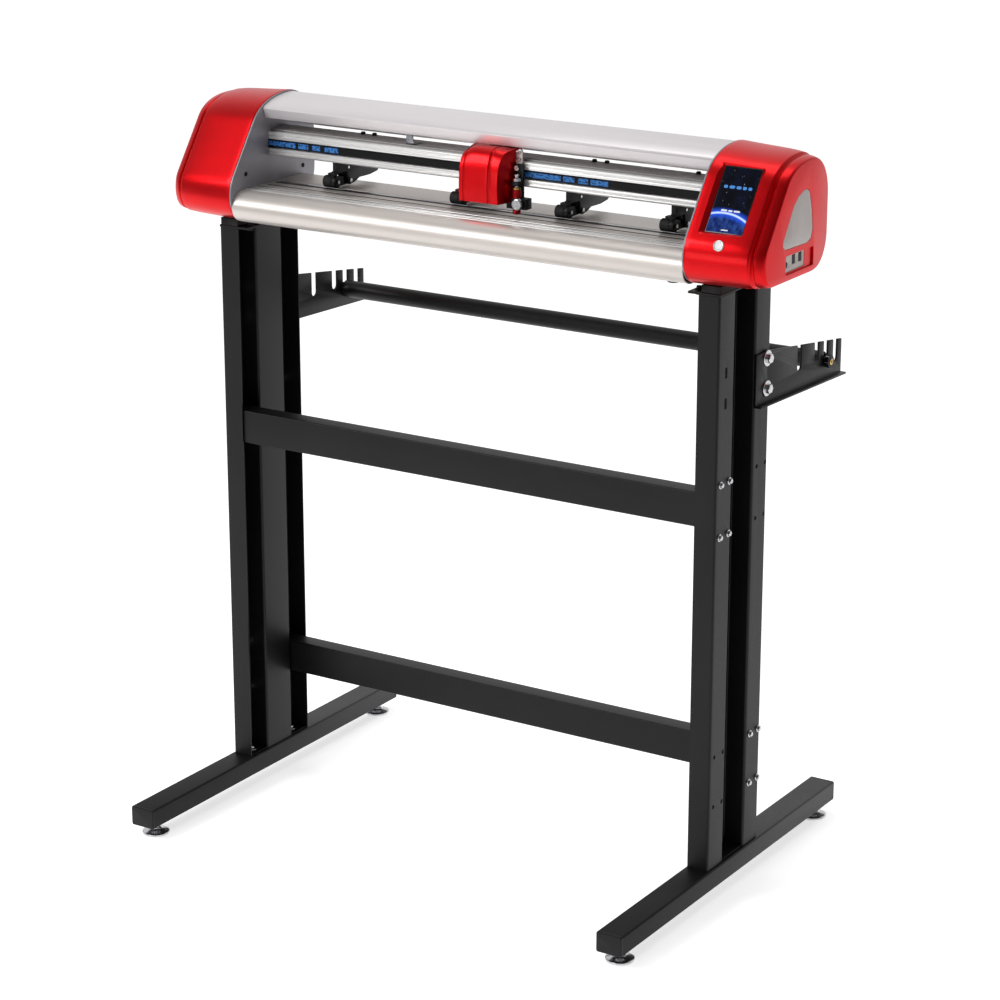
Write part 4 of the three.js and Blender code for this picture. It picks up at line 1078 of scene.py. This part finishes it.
def tool():
    cx, cy = 64.5, -20
    tx, tz = 73.5, 960.5
    red = [(0, 942.6), (0.5, 942.6), (0.8, 943.4), (4.6, 943.6), (5.2, 943.9), (5.6, 944.6), (5.6, 950.4),
           (6.2, 951.2), (6.2, 966), (6.6, 966.4), (7, 967)]
    for k in range(5):
        z = 968.4 + k * 1.9
        red += [(7, z), (6.5, z + 0.5), (6.5, z + 0.9), (7, z + 1.4)]
    red += [(7, 978.0), (6.4, 978.4), (0, 978.4)]
    new_for("blade_holder", lambda bm: turned(bm, red, (cx, cy, 0), "Z", 64), "holder", 30)

    def ring(bm):
        turned(bm, [(0, 978.5), (5.8, 978.5), (6.1, 978.9), (6.1, 981.2), (5.8, 981.6), (0, 981.6)],
               (cx, cy, 0), "Z", 64)
    extra("blade_holder_ring", "tool_slide", "brass", "brass", ring)

    def stem(bm):
        turned(bm, [(0, 981.7), (3.0, 981.7), (3.0, 989.9), (5.6, 990.1), (6.0, 990.6), (6.0, 994.2),
                    (5.5, 994.8), (3.0, 995.0), (3.0, 997.0), (4.0, 997.3), (4.2, 997.8), (4.2, 999.6),
                    (3.6, 1000.2), (0, 1000.2)], (cx, cy, 0), "Z", 56)
    extra("blade_holder_stem", "tool_slide", "bright_steel", "steel", stem)

    def slide_knob(bm):
        turned(bm, [(0, -15.6), (3.9, -15.6), (4.1, -16.1), (4.1, -19.0), (3.4, -19.7), (0, -19.7)],
               (63, 0, 1008), "Y", 40)
    extra("slide_stop_knob", "tool_slide", "bright_steel", "steel", slide_knob)

    def knurled(bm):
        teeth = 44
        rings = []
        for y, d in ((-36.5, 1.3), (-36.1, 0.5), (-35.5, 0.0), (-30.9, 0.0), (-30.4, 0.4), (-30, 1.1)):
            ring = []
            for i in range(teeth * 2):
                r = 8.1 - d - (0.45 if i % 2 and 0.2 > d else 0.0)
                a = math.pi * i / teeth
                ring.append(bm.verts.new((tx + r * math.cos(a), y, tz + r * math.sin(a))))
            rings.append(ring)
        closed_rings(bm, rings)
        turned(bm, [(0, -30.1), (4.5, -30.1), (4.5, -27.6), (2.0, -27.4), (1.9, -24.6), (0, -24.4)],
               (tx, 0, tz), "Y", 40)
    new_for("clamp_knob", knurled, "steel", 25)


# ---- pinch units ----------------------------------------------------------------------------
def pinch_units():
    for i in range(1, 5):
        names = [f"pinch_{part}_{i}" for part in ("bracket", "lever", "roller")]
        refine(names[0], "plastic", 0.5)
        refine(names[1], "plastic", 0.6)
        low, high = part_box(names[2])
        x = low.x / MM + 17
        c = (x, (low.y + high.y) / 2 / MM, (low.z + high.z) / 2 / MM)
        profile = [(0, -17), (2.8, -17), (3.0, -16.8), (3.2, -16.4), (7.9, -16.4), (8.7, -16.1), (9, -15.4)]
        for k in range(4):
            a = -14.4 + k * 2.8
            profile += [(9, a), (8.65, a + 0.25), (8.65, a + 0.75), (9, a + 1.0)]
        profile += [(9, -3.0), (8.7, -2.6), (7.9, -2.4), (3, -2.4), (3, 6.0), (2.6, 6.4), (0, 6.4)]
        new_for(names[2], lambda bm, c=c, p=profile: turned(bm, p, c, "X", 56), "rubber", 30)

        def axle(bm):
            turned(bm, [(0, 6.3), (2.7, 6.3), (2.9, 6.5), (2.9, 7.2), (2.4, 7.6), (0, 7.6)], c, "X", 32)
        extra(f"pinch_axle_end_{i}", f"pinch_roller_{i}_body", "bright_steel", "steel", axle)

        def pins(bm):
            pivot = [(0, 9.9), (2.6, 9.9), (3.1, 10.1), (3.1, 10.7), (2.6, 11.1), (0, 11.1)]
            turned(bm, pivot, (x, 34, 948), "X", 32)
            rivet = [(0, 8.9), (1.9, 8.9), (2.2, 9.1), (2.2, 9.6), (1.8, 9.9), (0, 9.9)]
            turned(bm, rivet, (x, 30, 968), "X", 32)
        extra(f"pinch_pin_heads_{i}", f"pinch_bracket_{i}_body", "bright_steel", "steel", pins)


# ---- studio ---------------------------------------------------------------------------------
CAMERA_AT = (2.2495, -3.5190, 1.8196)
CAMERA_PITCH, CAMERA_TURN = 17.410, 32.307     # degrees: downwards, and about the vertical
LENS = 108.49


def camera():
    data = bpy.data.cameras.new("camera")
    cam = bpy.data.objects.new("camera", data)
    bpy.context.scene.collection.objects.link(cam)
    cam.location = CAMERA_AT
    cam.rotation_euler = (math.radians(90 - CAMERA_PITCH), 0, math.radians(CAMERA_TURN))
    data.lens, data.sensor_width = LENS, 36
    data.clip_end = 60
    bpy.context.scene.camera = cam


def area(name, location, target, size, power):
    data = bpy.data.lights.new(name, "AREA")
    data.shape = "RECTANGLE"
    data.size, data.size_y = size
    data.energy = power
    o = bpy.data.objects.new(name, data)
    bpy.context.scene.collection.objects.link(o)
    o.location = location
    o.rotation_euler = (Vector(target) - Vector(location)).to_track_quat("-Z", "Y").to_euler()


def studio():
    def ground(bm):
        steps = 12
        size = 30000
        grid_faces(bm, lambda i, j: (-size + 2 * size * i / steps, -size + 2 * size * j / steps, -0.2), steps)
    s = Shader("studio_floor", roughness=0.9)
    s.color(s.mix(s.ramp(s.noise(0.8, 2.0), 0.3, 0.7), srgb("f4f4f4"), srgb("f8f8f8")))
    y = s.node("ShaderNodeSeparateXYZ", Vector=s.coords).outputs["Y"]
    # painted light: the floor glows. There is no glow in front of y = -2.6 m, rising to 0.62 behind y = -1.0
    # m. This lights the machine from below and fades its shadows
    s.feed(s.bsdf.inputs["Emission Color"], (1, 1, 1, 1))
    s.feed(s.bsdf.inputs["Emission Strength"], s.ramp(y, -2.6, -1.0, 0.0, 0.62))
    MAT["floor"] = s.material
    floor = mesh_object("floor", ground, "floor")
    bpy.context.scene.view_settings.view_transform = "Standard"
    world = bpy.data.worlds.new("studio")
    bpy.context.scene.world = world
    world.use_nodes = True
    tree = world.node_tree
    coords = tree.nodes.new("ShaderNodeTexCoord").outputs["Generated"]
    split = tree.nodes.new("ShaderNodeSeparateXYZ")
    tree.links.new(coords, split.inputs["Vector"])
    # darker in front and at the right
    both = tree.nodes.new("ShaderNodeMath")
    both.operation = "MULTIPLY"
    for i, (axis, limits) in enumerate((("Y", (-0.5, 0.6, 0.2, 0.85)), ("X", (0.1, 0.9, 1.0, 0.25)))):
        fade = tree.nodes.new("ShaderNodeMapRange")
        tree.links.new(split.outputs[axis], fade.inputs["Value"])
        for key, value in zip(("From Min", "From Max", "To Min", "To Max"), limits):
            fade.inputs[key].default_value = value
        tree.links.new(fade.outputs["Result"], both.inputs[i])
    tree.links.new(both.outputs["Value"], tree.nodes["Background"].inputs["Strength"])
    tree.nodes["Background"].inputs["Color"].default_value = (1, 1, 1, 1)
    area("key", (-1.9, -2.6, 2.9), (0, 0, 0.85), (1.7, 1.7), 70)
    area("fill", (-0.8, -3.6, 0.9), (0, 0, 0.8), (2.0, 0.9), 14)
    area("top", (0.0, 0.4, 3.6), (0, 0, 0.9), (2.4, 1.2), 18)


camera()
stand()
covers()
body_extrusion()
platen()
beam()
top_cover()
belt_and_drive()
carriage()
tool()
pinch_units()
studio()
